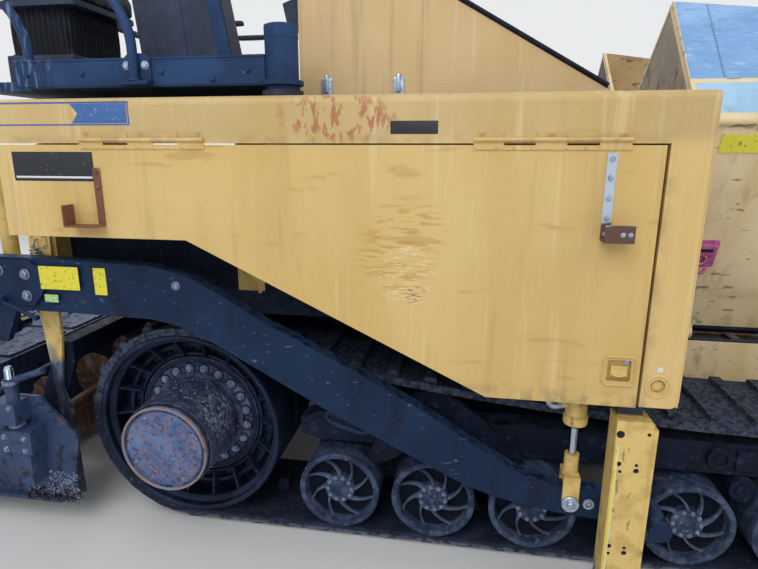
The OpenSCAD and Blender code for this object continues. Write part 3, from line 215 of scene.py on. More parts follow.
def hookOf(zone, hexText, roughness):
    # a hook's own finish on both doors: all that stands out more than 1 mm from the door's skin near the hook
    at, reach = zone
    return [layer(hexText, along("Y", side * 1.4708, side * 1.4716), patch(at, reach, core=0.85),
                  along("Z", 1.6, 1.597), roughness=roughness) for side in (-1, 1)]


zincHook = ((0.53, 0.0, 1.46), (0.11, 3.0, 0.24))
lipHook = ((0.545, 0.0, 1.35), (0.12, 3.0, 0.05))
rustHook = ((-1.24, 0.0, 1.43), (0.11, 3.0, 0.2))

looks = {
    # door skin: warm sand yellow, with a rubbed place and slanting scratches low in its middle
    "doorEnamel": dict(hex="#D5B36B", roughness=0.42, layers=paintWear + [
        layer("#C29B4E", patch((-0.13, -1.47, 1.29), (0.16, 0.2, 0.22), turn=(0, 0.5, 0)),
              noise(22, 0.5, 0.6, stretch=(0.25, 1, 1.6), turn=(0, 0.8, 0), amount=0.8)),
        layer("#E6D3A4", patch((-0.1, -1.47, 1.2), (0.14, 0.2, 0.14), turn=(0, 0.5, 0)),
              noise(9, 0.56, 0.62, stretch=(0.2, 1, 2.2), turn=(0, 0.9, 0), amount=0.9)),
        layer("#4A3A2C", patch((-0.075, -1.47, 1.13), (0.05, 0.2, 0.035), turn=(0, -0.45, 0)),
              noise(10, 0.52, 0.6, stretch=(0.4, 1, 1.6), turn=(0, -0.6, 0), amount=0.8)),
        layer("#B58A4A", noise(90, 0.62, 0.7, stretch=(0.3, 1, 1.3), turn=(0, 0.7, 0), amount=0.45)),
        layer("#8C7A58", along("Z", 0.86, 0.78), noise(40, 0.4, 0.65, amount=0.6), roughness=0.65),
    ] + hookOf(zincHook, "#B4C3D6", 0.35) + hookOf(lipHook, "#5E4338", 0.75) + hookOf(rustHook, "#7A4B38", 0.8),
    bumps=[orangePeel, dents]),
    # upper beam: the same enamel, with the pillar below Z 1.6 painted paler as painted light, and brick-red scrapes
    # near its middle
    "beamEnamel": dict(hex="#C0A671", roughness=0.45, layers=[
        # painted light: the pillar below Z 1.6 lifted to a paler tone
        layer("#DABA78", along("Z", 1.66, 1.6))] + paintWear + [
        layer("#A8553C", patch((-0.33, -1.47, 1.70), (0.24, 0.2, 0.10)),
              noise(26, 0.52, 0.6, stretch=(1.2, 1, 0.5), turn=(0, 0.3, 0), amount=0.75)),
        layer("#8A7452", along("Z", 1.665, 1.625), along("X", 0.72, 0.66), noise(70, 0.4, 0.62, amount=0.35)),
    ], bumps=[orangePeel, dents]),
    # the same enamel on the hood, paler
    "hoodEnamel": dict(hex="#CDAE7E", roughness=0.5, layers=paintWear, bumps=[orangePeel, dents]),
    # yellow fittings: brighter, with dark streaks; near-black low at the rear, blue-grey further back, darker towards
    # the floor
    "fittingEnamel": dict(hex="#DCBE74", roughness=0.42, layers=[
        layer("#B08C48", noise(70, 0.45, 0.65, amount=0.5)),
        layer("#5B4A33", noise(26, 0.6, 0.7, stretch=(1, 1, 0.35), amount=0.6), roughness=0.65),
        layer("#252C3C", along("X", -1.4, -1.45), along("Z", 0.74, 0.68), roughness=0.8),
        layer("#5C7494", along("X", -1.5, -1.6), along("Z", 0.95, 0.7),
              noise(60, 0.5, 0.62, stretch=(1, 1, 0.5), amount=0.6)),
        layer("#33302F", along("Z", 0.35, 0.05), noise(30, 0.42, 0.6, amount=0.8), roughness=0.8),
    ], bumps=[orangePeel]),
    "postEnamel": dict(hex="#DCBE74", roughness=0.45, layers=[
        layer("#B08C48", noise(70, 0.45, 0.65, amount=0.5)),
        layer("#5B4A33", noise(26, 0.62, 0.7, stretch=(1, 1, 0.35), amount=0.6), roughness=0.65),
        layer("#3E4A60", along("Z", 0.17, 0.06), noise(40, 0.36, 0.56, amount=0.85), roughness=0.85),
        layer("#1E2636", along("Z", 0.728, 0.742), roughness=0.6),
    ], bumps=[orangePeel]),
    # painted light: the hopper's yellow is made paler than the door's, to lift the shade it sits in
    "hopperEnamel": dict(hex="#E9D5AC", roughness=0.48, layers=paintWear + [
        layer("#5A4A3A", noise(120, 0.62, 0.72, stretch=(1, 1, 0.5), amount=0.4), roughness=0.7),
        layer("#2F3037", noise(44, 0.62, 0.68, stretch=(0.5, 1, 1.5), turn=(0, 0.4, 0), amount=0.6), roughness=0.75),
    ], bumps=[orangePeel, dents]),
    # inside end of the hopper: sheet darkened to grey-beige as painted shade, with dried mix in dark streaks
    "endSheet": dict(hex="#8B7C69", roughness=0.65, layers=[
        layer("#A3927A", noise(120, 0.42, 0.64, amount=0.7)),
        layer("#4C4340", noise(50, 0.56, 0.68, stretch=(1, 1, 0.4), amount=0.7), roughness=0.8),
    ], bumps=[bump(1.2, noise(30, 0.35, 0.7)), dents]),
    # sheet along the hopper's shoulder, chalky; its pale sky blue is painted light, the colour of the sky seen there
    "paintedSkyBand": dict(hex="#A6CBEA", roughness=0.6, layers=[
        layer("#8FB4D6", noise(180, 0.42, 0.66, stretch=(1, 1, 0.4), amount=0.7)),
        layer("#6E7F96", noise(24, 0.6, 0.7, stretch=(0.4, 1, 1.4), amount=0.6)),
    ], bumps=[orangePeel]),
    # black enamel on the frame and arms, its navy blue a painted reflection of the sky: satin with little shine,
    # dusty, with pale nicks
    "armEnamel": dict(hex="#0D2442", roughness=0.5, ior=1.3, layers=[
        layer("#173052", noise(320, 0.4, 0.68, amount=0.7)),
        layer("#0A1326", noise(90, 0.5, 0.7, stretch=(1, 1, 0.3), seed=(2, 2, 0), amount=0.6)),
        layer("#5F7396", noise(18, 0.67, 0.72, stretch=(0.5, 1, 1.6), amount=0.75), roughness=0.7),
        layer("#3A4A69", facingUp(0.5, 0.95), noise(30, 0.35, 0.6, amount=0.65), roughness=0.8),
        layer("#4C4450", noise(45, 0.67, 0.73, amount=0.4)),
    ], bumps=[orangePeel, bump(1.2, noise(60, 0.4, 0.7))]),
    # black enamel low on the machine, its blue tint a painted reflection of the sky: dull, grey with dust on all that
    # faces up
    "frameEnamel": dict(hex="#0D1628", roughness=0.6, ior=1.25, layers=[
        layer("#16213B", noise(160, 0.42, 0.65, amount=0.7)),
        layer("#303A50", noise(36, 0.56, 0.68, amount=0.6), roughness=0.85),
        layer("#3C4150", facingUp(0.4, 0.95), noise(50, 0.35, 0.6, amount=0.8), roughness=0.9),
    ], bumps=[bump(1.5, noise(30, 0.35, 0.7))]),
    # the arms' enamel on the platform, cleaner, its stronger blue a painted reflection of the sky
    "stationEnamel": dict(hex="#1B3257", roughness=0.5, ior=1.3, layers=[
        layer("#284A78", noise(220, 0.4, 0.68, amount=0.7)),
        layer("#5E7598", noise(12, 0.68, 0.74, stretch=(0.5, 1, 1), amount=0.6)),
        layer("#6F88AE", along("X", -1.36, -1.52), noise(20, 0.5, 0.62, stretch=(1.4, 1, 0.16), amount=0.6)),
    ], bumps=[orangePeel]),
    # cast iron wheels with rubber dust and dried mud
    "castIron": dict(hex="#24334C", roughness=0.7, ior=1.3, layers=[
        layer("#4F5D78", noise(60, 0.4, 0.65, amount=0.7)),
        layer("#6E7686", noise(22, 0.55, 0.7, amount=0.6), roughness=0.9),
        layer("#4B4652", noise(34, 0.6, 0.72, seed=(3, 0, 0), amount=0.55), roughness=0.9),
    ], bumps=[bump(1.4, noise(12, 0.3, 0.75))]),
    # the same iron on the wheels' faces: ribs rubbed pale; the floor between them is painted near-black as painted
    # shade, standing in for the dark seen through the openings
    "wheelWeb": dict(hex="#53617C", roughness=0.7, ior=1.3, layers=[
        layer("#7A8292", noise(24, 0.5, 0.68, amount=0.6), roughness=0.85),
        layer("#5A4C4C", noise(34, 0.6, 0.72, seed=(3, 0, 0), amount=0.5), roughness=0.9),
        # painted shade: near-black on all that lies deeper than the ribs
        layer("#0D1424", along("Y", -1.246, -1.228), along("Y", 1.246, 1.228), roughness=0.9),
    ], bumps=[bump(1.4, noise(12, 0.3, 0.75))]),
    # bonded rubber belt, greyed by dust
    "beltRubber": dict(hex="#171E30", roughness=0.8, ior=1.3, layers=[
        layer("#2A3348", noise(90, 0.38, 0.66, amount=0.75)),
        layer("#515A6C", noise(16, 0.58, 0.72, amount=0.6)),
        layer("#6A7182", along("Z", 0.04, 0.022), noise(30, 0.34, 0.6, amount=0.8), roughness=0.9),
        layer("#565F72", along("Z", 0.52, 0.56), noise(18, 0.4, 0.6, amount=0.5), roughness=0.9),
    ], bumps=[bump(1.6, noise(14, 0.3, 0.75))]),
    "wheelEnamel": dict(hex="#0F1A2E", roughness=0.5, ior=1.3, layers=[
        layer("#1D2C47", noise(120, 0.4, 0.65, amount=0.8)),
        layer("#49566E", noise(20, 0.6, 0.7, amount=0.5), roughness=0.8),
    ], bumps=[bump(1.2, noise(18, 0.35, 0.7))]),
    # hot-mix crust: black bitumen with grey stones, over a cast drum, with a painted highlight on the drum's upper
    # front
    "asphaltCrust": dict(hex="#2C3650", roughness=0.75, ior=1.35, layers=[
        layer("#4A5878", noise(40, 0.42, 0.62, amount=0.8)),
        layer("#8A97B0", cells(11, 0.16, 0.3), noise(60, 0.5, 0.62, amount=0.8)),
        layer("#5A4650", noise(50, 0.58, 0.7, seed=(5, 2, 0), amount=0.6)),
        layer("#7C89A4", noise(26, 0.56, 0.66, stretch=(0.12, 5, 0.12), amount=0.45), roughness=0.4),
    # painted highlight: a pale, glossier patch on the drum's upper front
    ] + [layer("#98A1B4", patch((-0.93, y, 0.52), (0.1, 0.16, 0.13)), noise(16, 0.46, 0.58, amount=0.8),
               roughness=0.35)
         for y in (-1.3, 1.3)], bumps=[bump(1.6, noise(20, 0.4, 0.6, stretch=(0.1, 5, 0.1))),
         bump(5.0, noise(16, 0.35, 0.7)), bump(7.0, noise(60, 0.45, 0.7))]),
    # loose mix: matt black crumbs and grey stones
    "bitumenCrumbs": dict(hex="#191C26", roughness=0.7, layers=[layer("#3A4152", noise(24, 0.5, 0.65, amount=0.7))]),
    "stoneGrey": dict(hex="#6F7C95", roughness=0.85, ior=1.3, layers=[
        layer("#A3AEC2", noise(30, 0.5, 0.6, amount=0.7)),
        layer("#39435A", noise(18, 0.5, 0.65, seed=(1, 3, 0), amount=0.8)),
    ]),
    # cover of the hub: painted steel worn to a dull blue-grey, its rim rubbed pale
    "coverFace": dict(hex="#516490", roughness=0.6, ior=1.35, layers=[
        layer("#6C82A8", noise(90, 0.42, 0.64, amount=0.8)),
        layer("#7D6E80", noise(30, 0.44, 0.6, seed=(6, 1, 2), amount=0.65)),
        layer("#2C3450", noise(16, 0.5, 0.64, amount=0.6)),
    ], bumps=[bump(1.2, noise(26, 0.35, 0.7))]),
    "coverRim": dict(hex="#8F7A76", roughness=0.55, layers=[
        layer("#7A8098", noise(50, 0.45, 0.62, amount=0.8)),
        layer("#3C3F52", noise(20, 0.6, 0.7, amount=0.8)),
    ], bumps=[bump(1.0, noise(20, 0.35, 0.7))]),
    # mill plate scoured by hot mix: bare and scratched; its sky blue and the paler blue of its scratches are a
    # painted reflection of the sky
    "bareSteel": dict(hex="#7DA9DA", roughness=0.5, metallic=0.15, layers=[
        layer("#97BFEA", noise(300, 0.4, 0.65, amount=0.7)),
        layer("#6D97C6", noise(46, 0.5, 0.62, stretch=(0.4, 1, 1.2), turn=(0, 0.5, 0), amount=0.4), roughness=0.6),
        layer("#B7D3F0", noise(13, 0.6, 0.66, stretch=(0.22, 1, 1.6), turn=(0, 0.8, 0), amount=0.5)),
        layer("#B7D3F0", noise(13, 0.6, 0.66, stretch=(0.22, 1, 1.6), turn=(0, -0.9, 0), seed=(3, 3, 3),
                               amount=0.45)),
        layer("#5C6E86", noise(120, 0.64, 0.72, amount=0.35), roughness=0.7),
    ], bumps=[bump(0.8, noise(20, 0.4, 0.7, stretch=(0.3, 1, 1.4), turn=(0, 0.5, 0))), dents]),
    # plate stained brown by bitumen and heat
    "scorchedSteel": dict(hex="#4A3A34", roughness=0.6, metallic=0.2, layers=[
        layer("#6B5346", noise(160, 0.42, 0.64, amount=0.8)),
        layer("#221E22", noise(60, 0.54, 0.66, stretch=(1, 1, 0.4), amount=0.8)),
        layer("#8A8F9C", noise(20, 0.66, 0.72, amount=0.6)),
    ], bumps=[bump(1.5, noise(30, 0.35, 0.7)), dents]),
    # dark blue painted plate, oily and scuffed
    "screedSteel": dict(hex="#33486C", roughness=0.6, metallic=0.2, layers=[
        layer("#26365A", noise(160, 0.42, 0.64, amount=0.8)),
        layer("#1C2130", noise(50, 0.52, 0.64, amount=0.8), roughness=0.85),
        layer("#6B4E48", noise(70, 0.6, 0.7, seed=(2, 4, 0), amount=0.5), roughness=0.85),
    ], bumps=[bump(1.4, noise(24, 0.35, 0.7))]),
    # rusted wear plate, polished where the mix runs over it
    "rustSteel": dict(hex="#543F36", roughness=0.7, metallic=0.25, layers=[
        layer("#7E5740", noise(60, 0.45, 0.62, amount=0.8)),
        layer("#8790A0", noise(90, 0.56, 0.68, amount=0.6), roughness=0.4),
        layer("#25232A", noise(34, 0.56, 0.66, seed=(1, 1, 4), amount=0.8), roughness=0.85),
    ], bumps=[bump(1.2, noise(16, 0.35, 0.7))]),
    # hard chrome on the cylinders' rods: a clear, bright reflection
    "rodChrome": dict(hex="#B9C6DA", roughness=0.14, metallic=1.0,
                      layers=[layer("#8A93A2", noise(40, 0.5, 0.7, stretch=(1, 1, 0.3), amount=0.5), roughness=0.3)]),
    # zinc-plated and dark steel fasteners
    "zincSteel": dict(hex="#AEBCD0", roughness=0.38, metallic=0.7, layers=[
        layer("#8492A8", noise(24, 0.48, 0.62, amount=0.7), roughness=0.55),
        layer("#6A5548", noise(14, 0.64, 0.72, amount=0.5), roughness=0.8),
    ]),
    "boltSteel": dict(hex="#6D7C98", roughness=0.45, metallic=0.5, layers=[
        layer("#9AA8C0", noise(16, 0.5, 0.62, amount=0.7)),
        layer("#3E3A40", noise(12, 0.58, 0.68, seed=(2, 0, 0), amount=0.7), roughness=0.8),
    ]),
    # moulded black rubber, dull
    "rubberBlack": dict(hex="#12151E", roughness=0.75, ior=1.35,
                        layers=[layer("#262D3C", noise(30, 0.48, 0.66, amount=0.6))]),
    # pink enamel and clear pink plastic
    "lampRed": dict(hex="#B9588F", roughness=0.4, coat=0.3,
                    layers=[layer("#7A3D66", noise(30, 0.5, 0.64, amount=0.6))]),
    "lampGlass": dict(hex="#CB7AA8", roughness=0.2, coat=0.5,
                      layers=[layer("#9A4A7C", cells(9, 0.1, 0.5, amount=0.5))]),
    "screenGlass": dict(hex="#0B1018", roughness=0.12, layers=[layer("#1C2633", noise(60, 0.45, 0.6, amount=0.5))]),
    # upholstery vinyl with a fine grain, and moulded plastic beside it
    "seatVinyl": dict(hex="#1B2230", roughness=0.55, ior=1.4,
                      layers=[layer("#2E3A50", noise(60, 0.45, 0.65, amount=0.6))],
                      bumps=[bump(0.5, noise(4, 0.3, 0.7, detail=1.0))]),
    "consolePlastic": dict(hex="#202B40", roughness=0.55, ior=1.4,
                           layers=[layer("#33415A", noise(80, 0.45, 0.65, amount=0.6))],
                           bumps=[bump(0.4, noise(3, 0.3, 0.7, detail=1.0))]),
    # rolled anti-slip plate, grey with dust
    "deckSteel": dict(hex="#222C40", roughness=0.65, ior=1.35, layers=[
        layer("#3C475C", noise(110, 0.42, 0.64, amount=0.8)),
        layer("#5E5C60", noise(26, 0.58, 0.7, amount=0.5)),
    ], bumps=[bump(1.0, noise(20, 0.35, 0.7))]),
}
# blank foils where the stickers were: faded print colours, scuffed to the backing in grains of the size given
for name, hexText, roughness, worn, grain, low, high, amount in (
        ("foilBlack", "#20242C", 0.4, "#5A5448", 12, 0.6, 0.7, 0.7),
        ("foilWhite", "#D9DCE0", 0.45, "#A99C80", 12, 0.6, 0.7, 0.6),
        ("foilBlue", "#3E66A4", 0.4, "#9BA6B4", 14, 0.58, 0.68, 0.6),
        ("foilYellow", "#E2D83E", 0.45, "#6A6440", 16, 0.56, 0.68, 0.7),
        ("foilGreen", "#A9D08A", 0.5, "#5E6650", 14, 0.52, 0.66, 0.8)):
    looks[name] = dict(hex=hexText, roughness=roughness, layers=[layer(worn, noise(grain, low, high, amount=amount))])
materials = {name: makeMaterial(name, look) for name, look in looks.items()}

nodeFinishes = {
    "doorEnamel": ["side_door_right", "side_door_left"],
    "beamEnamel": ["side_panels"],
    "hoodEnamel": ["engine_hood"],
    "postEnamel": ["tow_posts"],
    "fittingEnamel": ["tow_cylinders", "tow_rods", "lift_barrels", "rear_frame"],
    "hopperEnamel": ["hopper_wing_right", "hopper_wing_left", "hopper_apron", "hopper_frame"],
    "armEnamel": ["tow_arms", "hood_lid"],
    "frameEnamel": ["main_frame", "track_frames", "bogies", "tanks", "auger_frame", "push_bar", "engine_block"],
    "stationEnamel": ["station_right", "station_left", "handrails"],
    "castIron": ["road_wheels"],
    "beltRubber": ["track_belts"],
    "wheelEnamel": ["drive_wheels"],
    "asphaltCrust": ["final_drives"],
    "screedSteel": ["screed_body", "screed_extender_right", "screed_extender_left", "end_gate_right",
                    "end_gate_left"],
    "rustSteel": ["conveyors", "auger_right", "auger_left", "push_roller_right", "push_roller_left"],
    "rodChrome": ["lift_rods"],
    "seatVinyl": ["seat_right", "seat_left"],
    "consolePlastic": ["console_right", "console_left"],
    "deckSteel": ["deck", "screed_walkway"],
}
for finish, names in nodeFinishes.items():
    for name in names:
        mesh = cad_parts[name].data
        mesh.materials.clear()
        mesh.materials.append(materials[finish])
print("materials on the carried-over nodes")


# a shape is (points, faces), with its points in millimetres
def gridFaces(rows, cols, wrapRows=False, wrapCols=False):
    # the four corners of each cell of a rows x cols grid; a wrapped direction joins its end to its start
    index = np.arange(rows * cols).reshape(rows, cols)
    here, below = (index, np.roll(index, -1, 0)) if wrapRows else (index[:-1], index[1:])
    if wrapCols:
        quads = np.stack([here, np.roll(here, -1, 1), np.roll(below, -1, 1), below], -1)
    else:
        quads = np.stack([here[:, :-1], here[:, 1:], below[:, 1:], below[:, :-1]], -1)
    return quads.reshape(-1, 4).tolist()


def laid(u, v, depth, plane):
    # two directions of a drawing and its depth, laid in a plane: side looks along Y from the right,
    # front looks along X, top looks down
    if plane == "side":
        return np.stack([u, -depth, v], -1)
    if plane == "front":
        return np.stack([depth, u, v], -1)
    return np.stack([u, v, depth], -1)


def turned(profile, at=(0, 0, 0), plane="side", count=48, ends=False):
    # surface of revolution: each row (radius r, height h) of the profile gives the circle r*(cos a, sin a) at h
    profile = np.asarray(profile, float)
    angle = np.arange(count) * 2 * np.pi / count
    r, h = profile[:, :1], profile[:, 1:2]
    points = laid(r * np.cos(angle), r * np.sin(angle), h + 0 * angle, plane).reshape(-1, 3)
    faces = gridFaces(len(profile), count, wrapCols=True)
    if ends:
        last = (len(profile) - 1) * count
        faces += [list(range(count)), list(range(last, last + count))]
    offset = laid(np.float64(at[0]), np.float64(at[1]), np.float64(at[2]), plane)
    return points + offset, faces


def rounded(outline, radius, steps=4):
    # each corner p becomes the curve (1-t)^2 a + 2t(1-t) p + t^2 b between points a and b on its two sides
    p = np.asarray(outline, float)
    before, after = np.roll(p, 1, 0) - p, np.roll(p, -1, 0) - p
    lengthBefore, lengthAfter = np.linalg.norm(before, axis=1), np.linalg.norm(after, axis=1)
    reach = np.minimum(radius, 0.45 * np.minimum(lengthBefore, lengthAfter))
    a = p + before * (reach / lengthBefore)[:, None]
    b = p + after * (reach / lengthAfter)[:, None]
    t = np.linspace(0, 1, steps + 1)[None, :, None]
    return ((1 - t) ** 2 * a[:, None] + 2 * t * (1 - t) * p[:, None] + t ** 2 * b[:, None]).reshape(-1, 2)


def moved(outline, distance):
    # every edge of a closed outline moves outward by the distance, its corners slide along their mitres
    p = np.asarray(outline, float)
    edge = np.roll(p, -1, 0) - p
    edge = edge / np.maximum(np.linalg.norm(edge, axis=1, keepdims=True), 1e-9)
    area = np.sum(p[:, 0] * np.roll(p[:, 1], -1) - np.roll(p[:, 0], -1) * p[:, 1])
    normal = np.stack([edge[:, 1], -edge[:, 0]], 1) * np.sign(area)
    before = np.roll(normal, 1, 0)
    return p + distance * (normal + before) / np.maximum(1 + np.sum(normal * before, 1, keepdims=True), 0.2)


def pressed(outline, low, high, edge=2.0, plane="side"):
    # plate between two depths, its front edge turned over a quarter circle: inset e(1-cos q), depth high-e+e sin q
    q = np.linspace(0, np.pi / 2, 4)
    insets = np.concatenate([[0.0], edge * (1 - np.cos(q))])
    depths = np.concatenate([[low], high - edge + edge * np.sin(q)])
    rings = np.stack([moved(outline, -inset) for inset in insets])
    count = rings.shape[1]
    points = laid(rings[..., 0], rings[..., 1], depths[:, None] + 0 * rings[..., 0], plane).reshape(-1, 3)
    last = (len(insets) - 1) * count
    faces = gridFaces(len(insets), count, wrapCols=True)
    return points, faces + [list(range(count)), list(range(last, last + count))]


def box(u0, u1, v0, v1, corner=4, steps=3):
    return rounded([(u0, v0), (u1, v0), (u1, v1), (u0, v1)], corner, steps)


def banded(outline, section, plane="side"):
    # closed rim: every row (offset outward, depth) of the section is a copy of the outline moved by that offset
    rings = np.stack([moved(outline, offset) for offset, _ in section])
    depths = np.array([depth for _, depth in section], float)[:, None]
    points = laid(rings[..., 0], rings[..., 1], depths + 0 * rings[..., 0], plane).reshape(-1, 3)
    return points, gridFaces(len(section), rings.shape[1], wrapRows=True, wrapCols=True)


def circleOutline(u, v, radius, count=48):
    angle = np.arange(count) * 2 * np.pi / count
    return np.stack([u + radius * np.cos(angle), v + radius * np.sin(angle)], 1)


def smoothPath(points, count=40):
    # Catmull-Rom curve: a cubic between each two points whose slope there is half the step between their neighbours
    p = np.asarray(points, float)
    p = np.vstack([2 * p[0] - p[1], p, 2 * p[-1] - p[-2]])
    t = np.linspace(0, len(p) - 3, count)
    i = np.minimum(t.astype(int), len(p) - 4)
    u = (t - i)[:, None]
    a, b, c, d = p[i], p[i + 1], p[i + 2], p[i + 3]
    return 0.5 * (2 * b + (c - a) * u + (2 * a - 5 * b + 4 * c - d) * u ** 2 + (3 * b - a - 3 * c + d) * u ** 3)


def tubed(path, radius, count=12, up=(0.0, 1.0, 0.0)):
    # circle carried along the path, square to it: side = direction x up, lift = side x direction
    path = np.asarray(path, float)
    direction = np.gradient(path, axis=0)
    direction /= np.linalg.norm(direction, axis=1, keepdims=True)
    side = np.cross(direction, up)
    side /= np.linalg.norm(side, axis=1, keepdims=True)
    lift = np.cross(side, direction)
    angle = np.arange(count) * 2 * np.pi / count
    radius = np.broadcast_to(np.asarray(radius, float), len(path))[:, None, None]
    across, above = side[:, None] * np.cos(angle)[:, None], lift[:, None] * np.sin(angle)[:, None]
    points = path[:, None] + radius * (across + above)
    last = (len(path) - 1) * count
    faces = gridFaces(len(path), count, wrapCols=True) + [list(range(count)), list(range(last, last + count))]
    return points.reshape(-1, 3), faces


def bentRod(points, steps, radius, count=12, up=(0.0, 1.0, 0.0)):
    return tubed(smoothPath(points, steps), radius, count, up)


def placed(places, plane="side"):
    # rows of (u, v, depth) as points in the machine's frame
    return laid(places[:, 0], places[:, 1], places[:, 2], plane)


def repeated(shape, places):
    # the same shape moved to each place
    points, faces = shape
    places = np.asarray(places, float).reshape(-1, 3)
    many = (points[None] + places[:, None]).reshape(-1, 3)
    return many, [[k + i * len(points) for k in face] for i in range(len(places)) for face in faces]


def joined(shapes):
    starts = np.cumsum([0] + [len(points) for points, _ in shapes])
    points = np.vstack([points for points, _ in shapes])
    return points, [[k + start for k in face] for (_, faces), start in zip(shapes, starts.tolist()) for face in faces]


def boltHeads(places, size, plane="side", turn=0.3):
    # chamfered hexagon on a round washer; size is half the width of the head, places are (u, v, depth)
    angle = turn + np.arange(6) * np.pi / 3
    rows = np.array([(1.12, 0.1), (1.12, 0.72), (0.95, 0.86)]) * size
    ring = np.stack([rows[:, :1] * np.cos(angle), rows[:, :1] * np.sin(angle), rows[:, 1:] + 0 * angle], -1)
    head = (laid(ring[..., 0], ring[..., 1], ring[..., 2], plane).reshape(-1, 3),
            gridFaces(3, 6, wrapCols=True) + [list(range(12, 18))])
    washer = turned(np.array([(1.5, 0), (1.5, 0.14), (1.38, 0.24), (0.9, 0.25)]) * size, (0, 0, 0), plane, 20)
    spots = np.asarray(places, float).reshape(-1, 3)
    return repeated(joined([head, washer]), placed(spots, plane))


def ringPlaces(u, v, depth, radius, count, start=0.0):
    angle = start + np.arange(count) * 2 * np.pi / count
    return np.stack([u + radius * np.cos(angle), v + radius * np.sin(angle), np.full(count, depth, float)], 1)


def grid(us, vs, depth):
    return [(u, v, depth) for v in vs for u in us]


def stones(centres, sizes, seed):
    # broken stones: a six-sided ball of five rings whose corners are pushed in and out by chance
    dice = np.random.default_rng(seed)
    polar = np.array([0.3, 1.0, 1.7, 2.4, 2.9])[:, None]
    angle = np.arange(6) * np.pi / 3 + 0.2
    ball = np.stack([np.sin(polar) * np.cos(angle), np.sin(polar) * np.sin(angle), np.cos(polar) + 0 * angle], -1)
    ball = ball.reshape(-1, 3)
    push = dice.uniform(0.65, 1.1, (len(centres), len(ball), 1)) * dice.uniform(0.6, 1.15, (len(centres), 1, 3))
    points = (np.asarray(centres)[:, None] + ball[None] * push * np.asarray(sizes)[:, None, None]).reshape(-1, 3)
    faces = gridFaces(5, 6, wrapCols=True) + [list(range(6)), list(range(24, 30))]
    return points, [[k + i * 30 for k in face] for i in range(len(centres)) for face in faces]


def putPiece(name, shapes, finish, body="tractor", sides="both", sharp=38):
    # sides: both = the shape and its mirror image in one piece, right or left = one of them
    points, faces = joined(shapes)
    mirror = points * (1, -1, 1)
    if sides == "both":
        points, faces = joined([(points, faces), (mirror, [face[::-1] for face in faces])])
    elif sides == "left":
        points, faces = mirror, [face[::-1] for face in faces]
    mesh = bpy.data.meshes.new(name)
    mesh.from_pydata(toMetres(points).tolist(), [], faces)
    shell = bmesh.new()
    shell.from_mesh(mesh)
    bmesh.ops.recalc_face_normals(shell, faces=shell.faces)
    shell.to_mesh(mesh)
    shell.free()
    mesh.shade_smooth()
    mesh.set_sharp_from_angle(angle=radians(sharp))
    mesh.materials.append(materials[finish])
    piece = bpy.data.objects.new(name, mesh)
    scene.collection.objects.link(piece)
    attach(piece, body)
    return piece


def putPair(name, shapes, finish, body):
    # one piece for each of two mirrored bodies
    for side in ("right", "left"):
        putPiece(name + "_" + side, shapes, finish, body + "_" + side, side)


# doors, beam and pillar
# outer planes of the side panel, arm, belt and drive wheel's disc
sideY, armOut, beltOut, discY = 1470.0, 1360.0, 1270.0, 1112.0
axleZ, wheelZ, idlerX, idlerZ = 455.0, 218.0, 2870.0, 345.0
wheelXs = [656.0, 1046.0, 1437.0, 2010.0, 2402.0]

doorFurniture = {
    "latch": (1645, 906), "frameHalf": 53, "paddleHalf": 24,
    "blankPlate": (-469, -152, 1490, 1591), "stripe": (-462, -160, 1500, 1507),
    "hingeScrewRows": [(-178, 9), (1168, 9)], "hingeScrewStep": 52, "hingeScrewZ": 1606,
}
beamFurniture = {
    "screws": [(-167, 1658), (39, 1657), (245, 1656), (1176, 1652), (1382, 1651), (1585, 1649)],
    "blueRim": (-700, 2, 1679, 1757), "blueField": (-215, -6, 1686, 1750),
    "smallBlank": (892, 1041, 1648, 1688),
    "plug": (1769, 860), "plugRadius": 41,
}


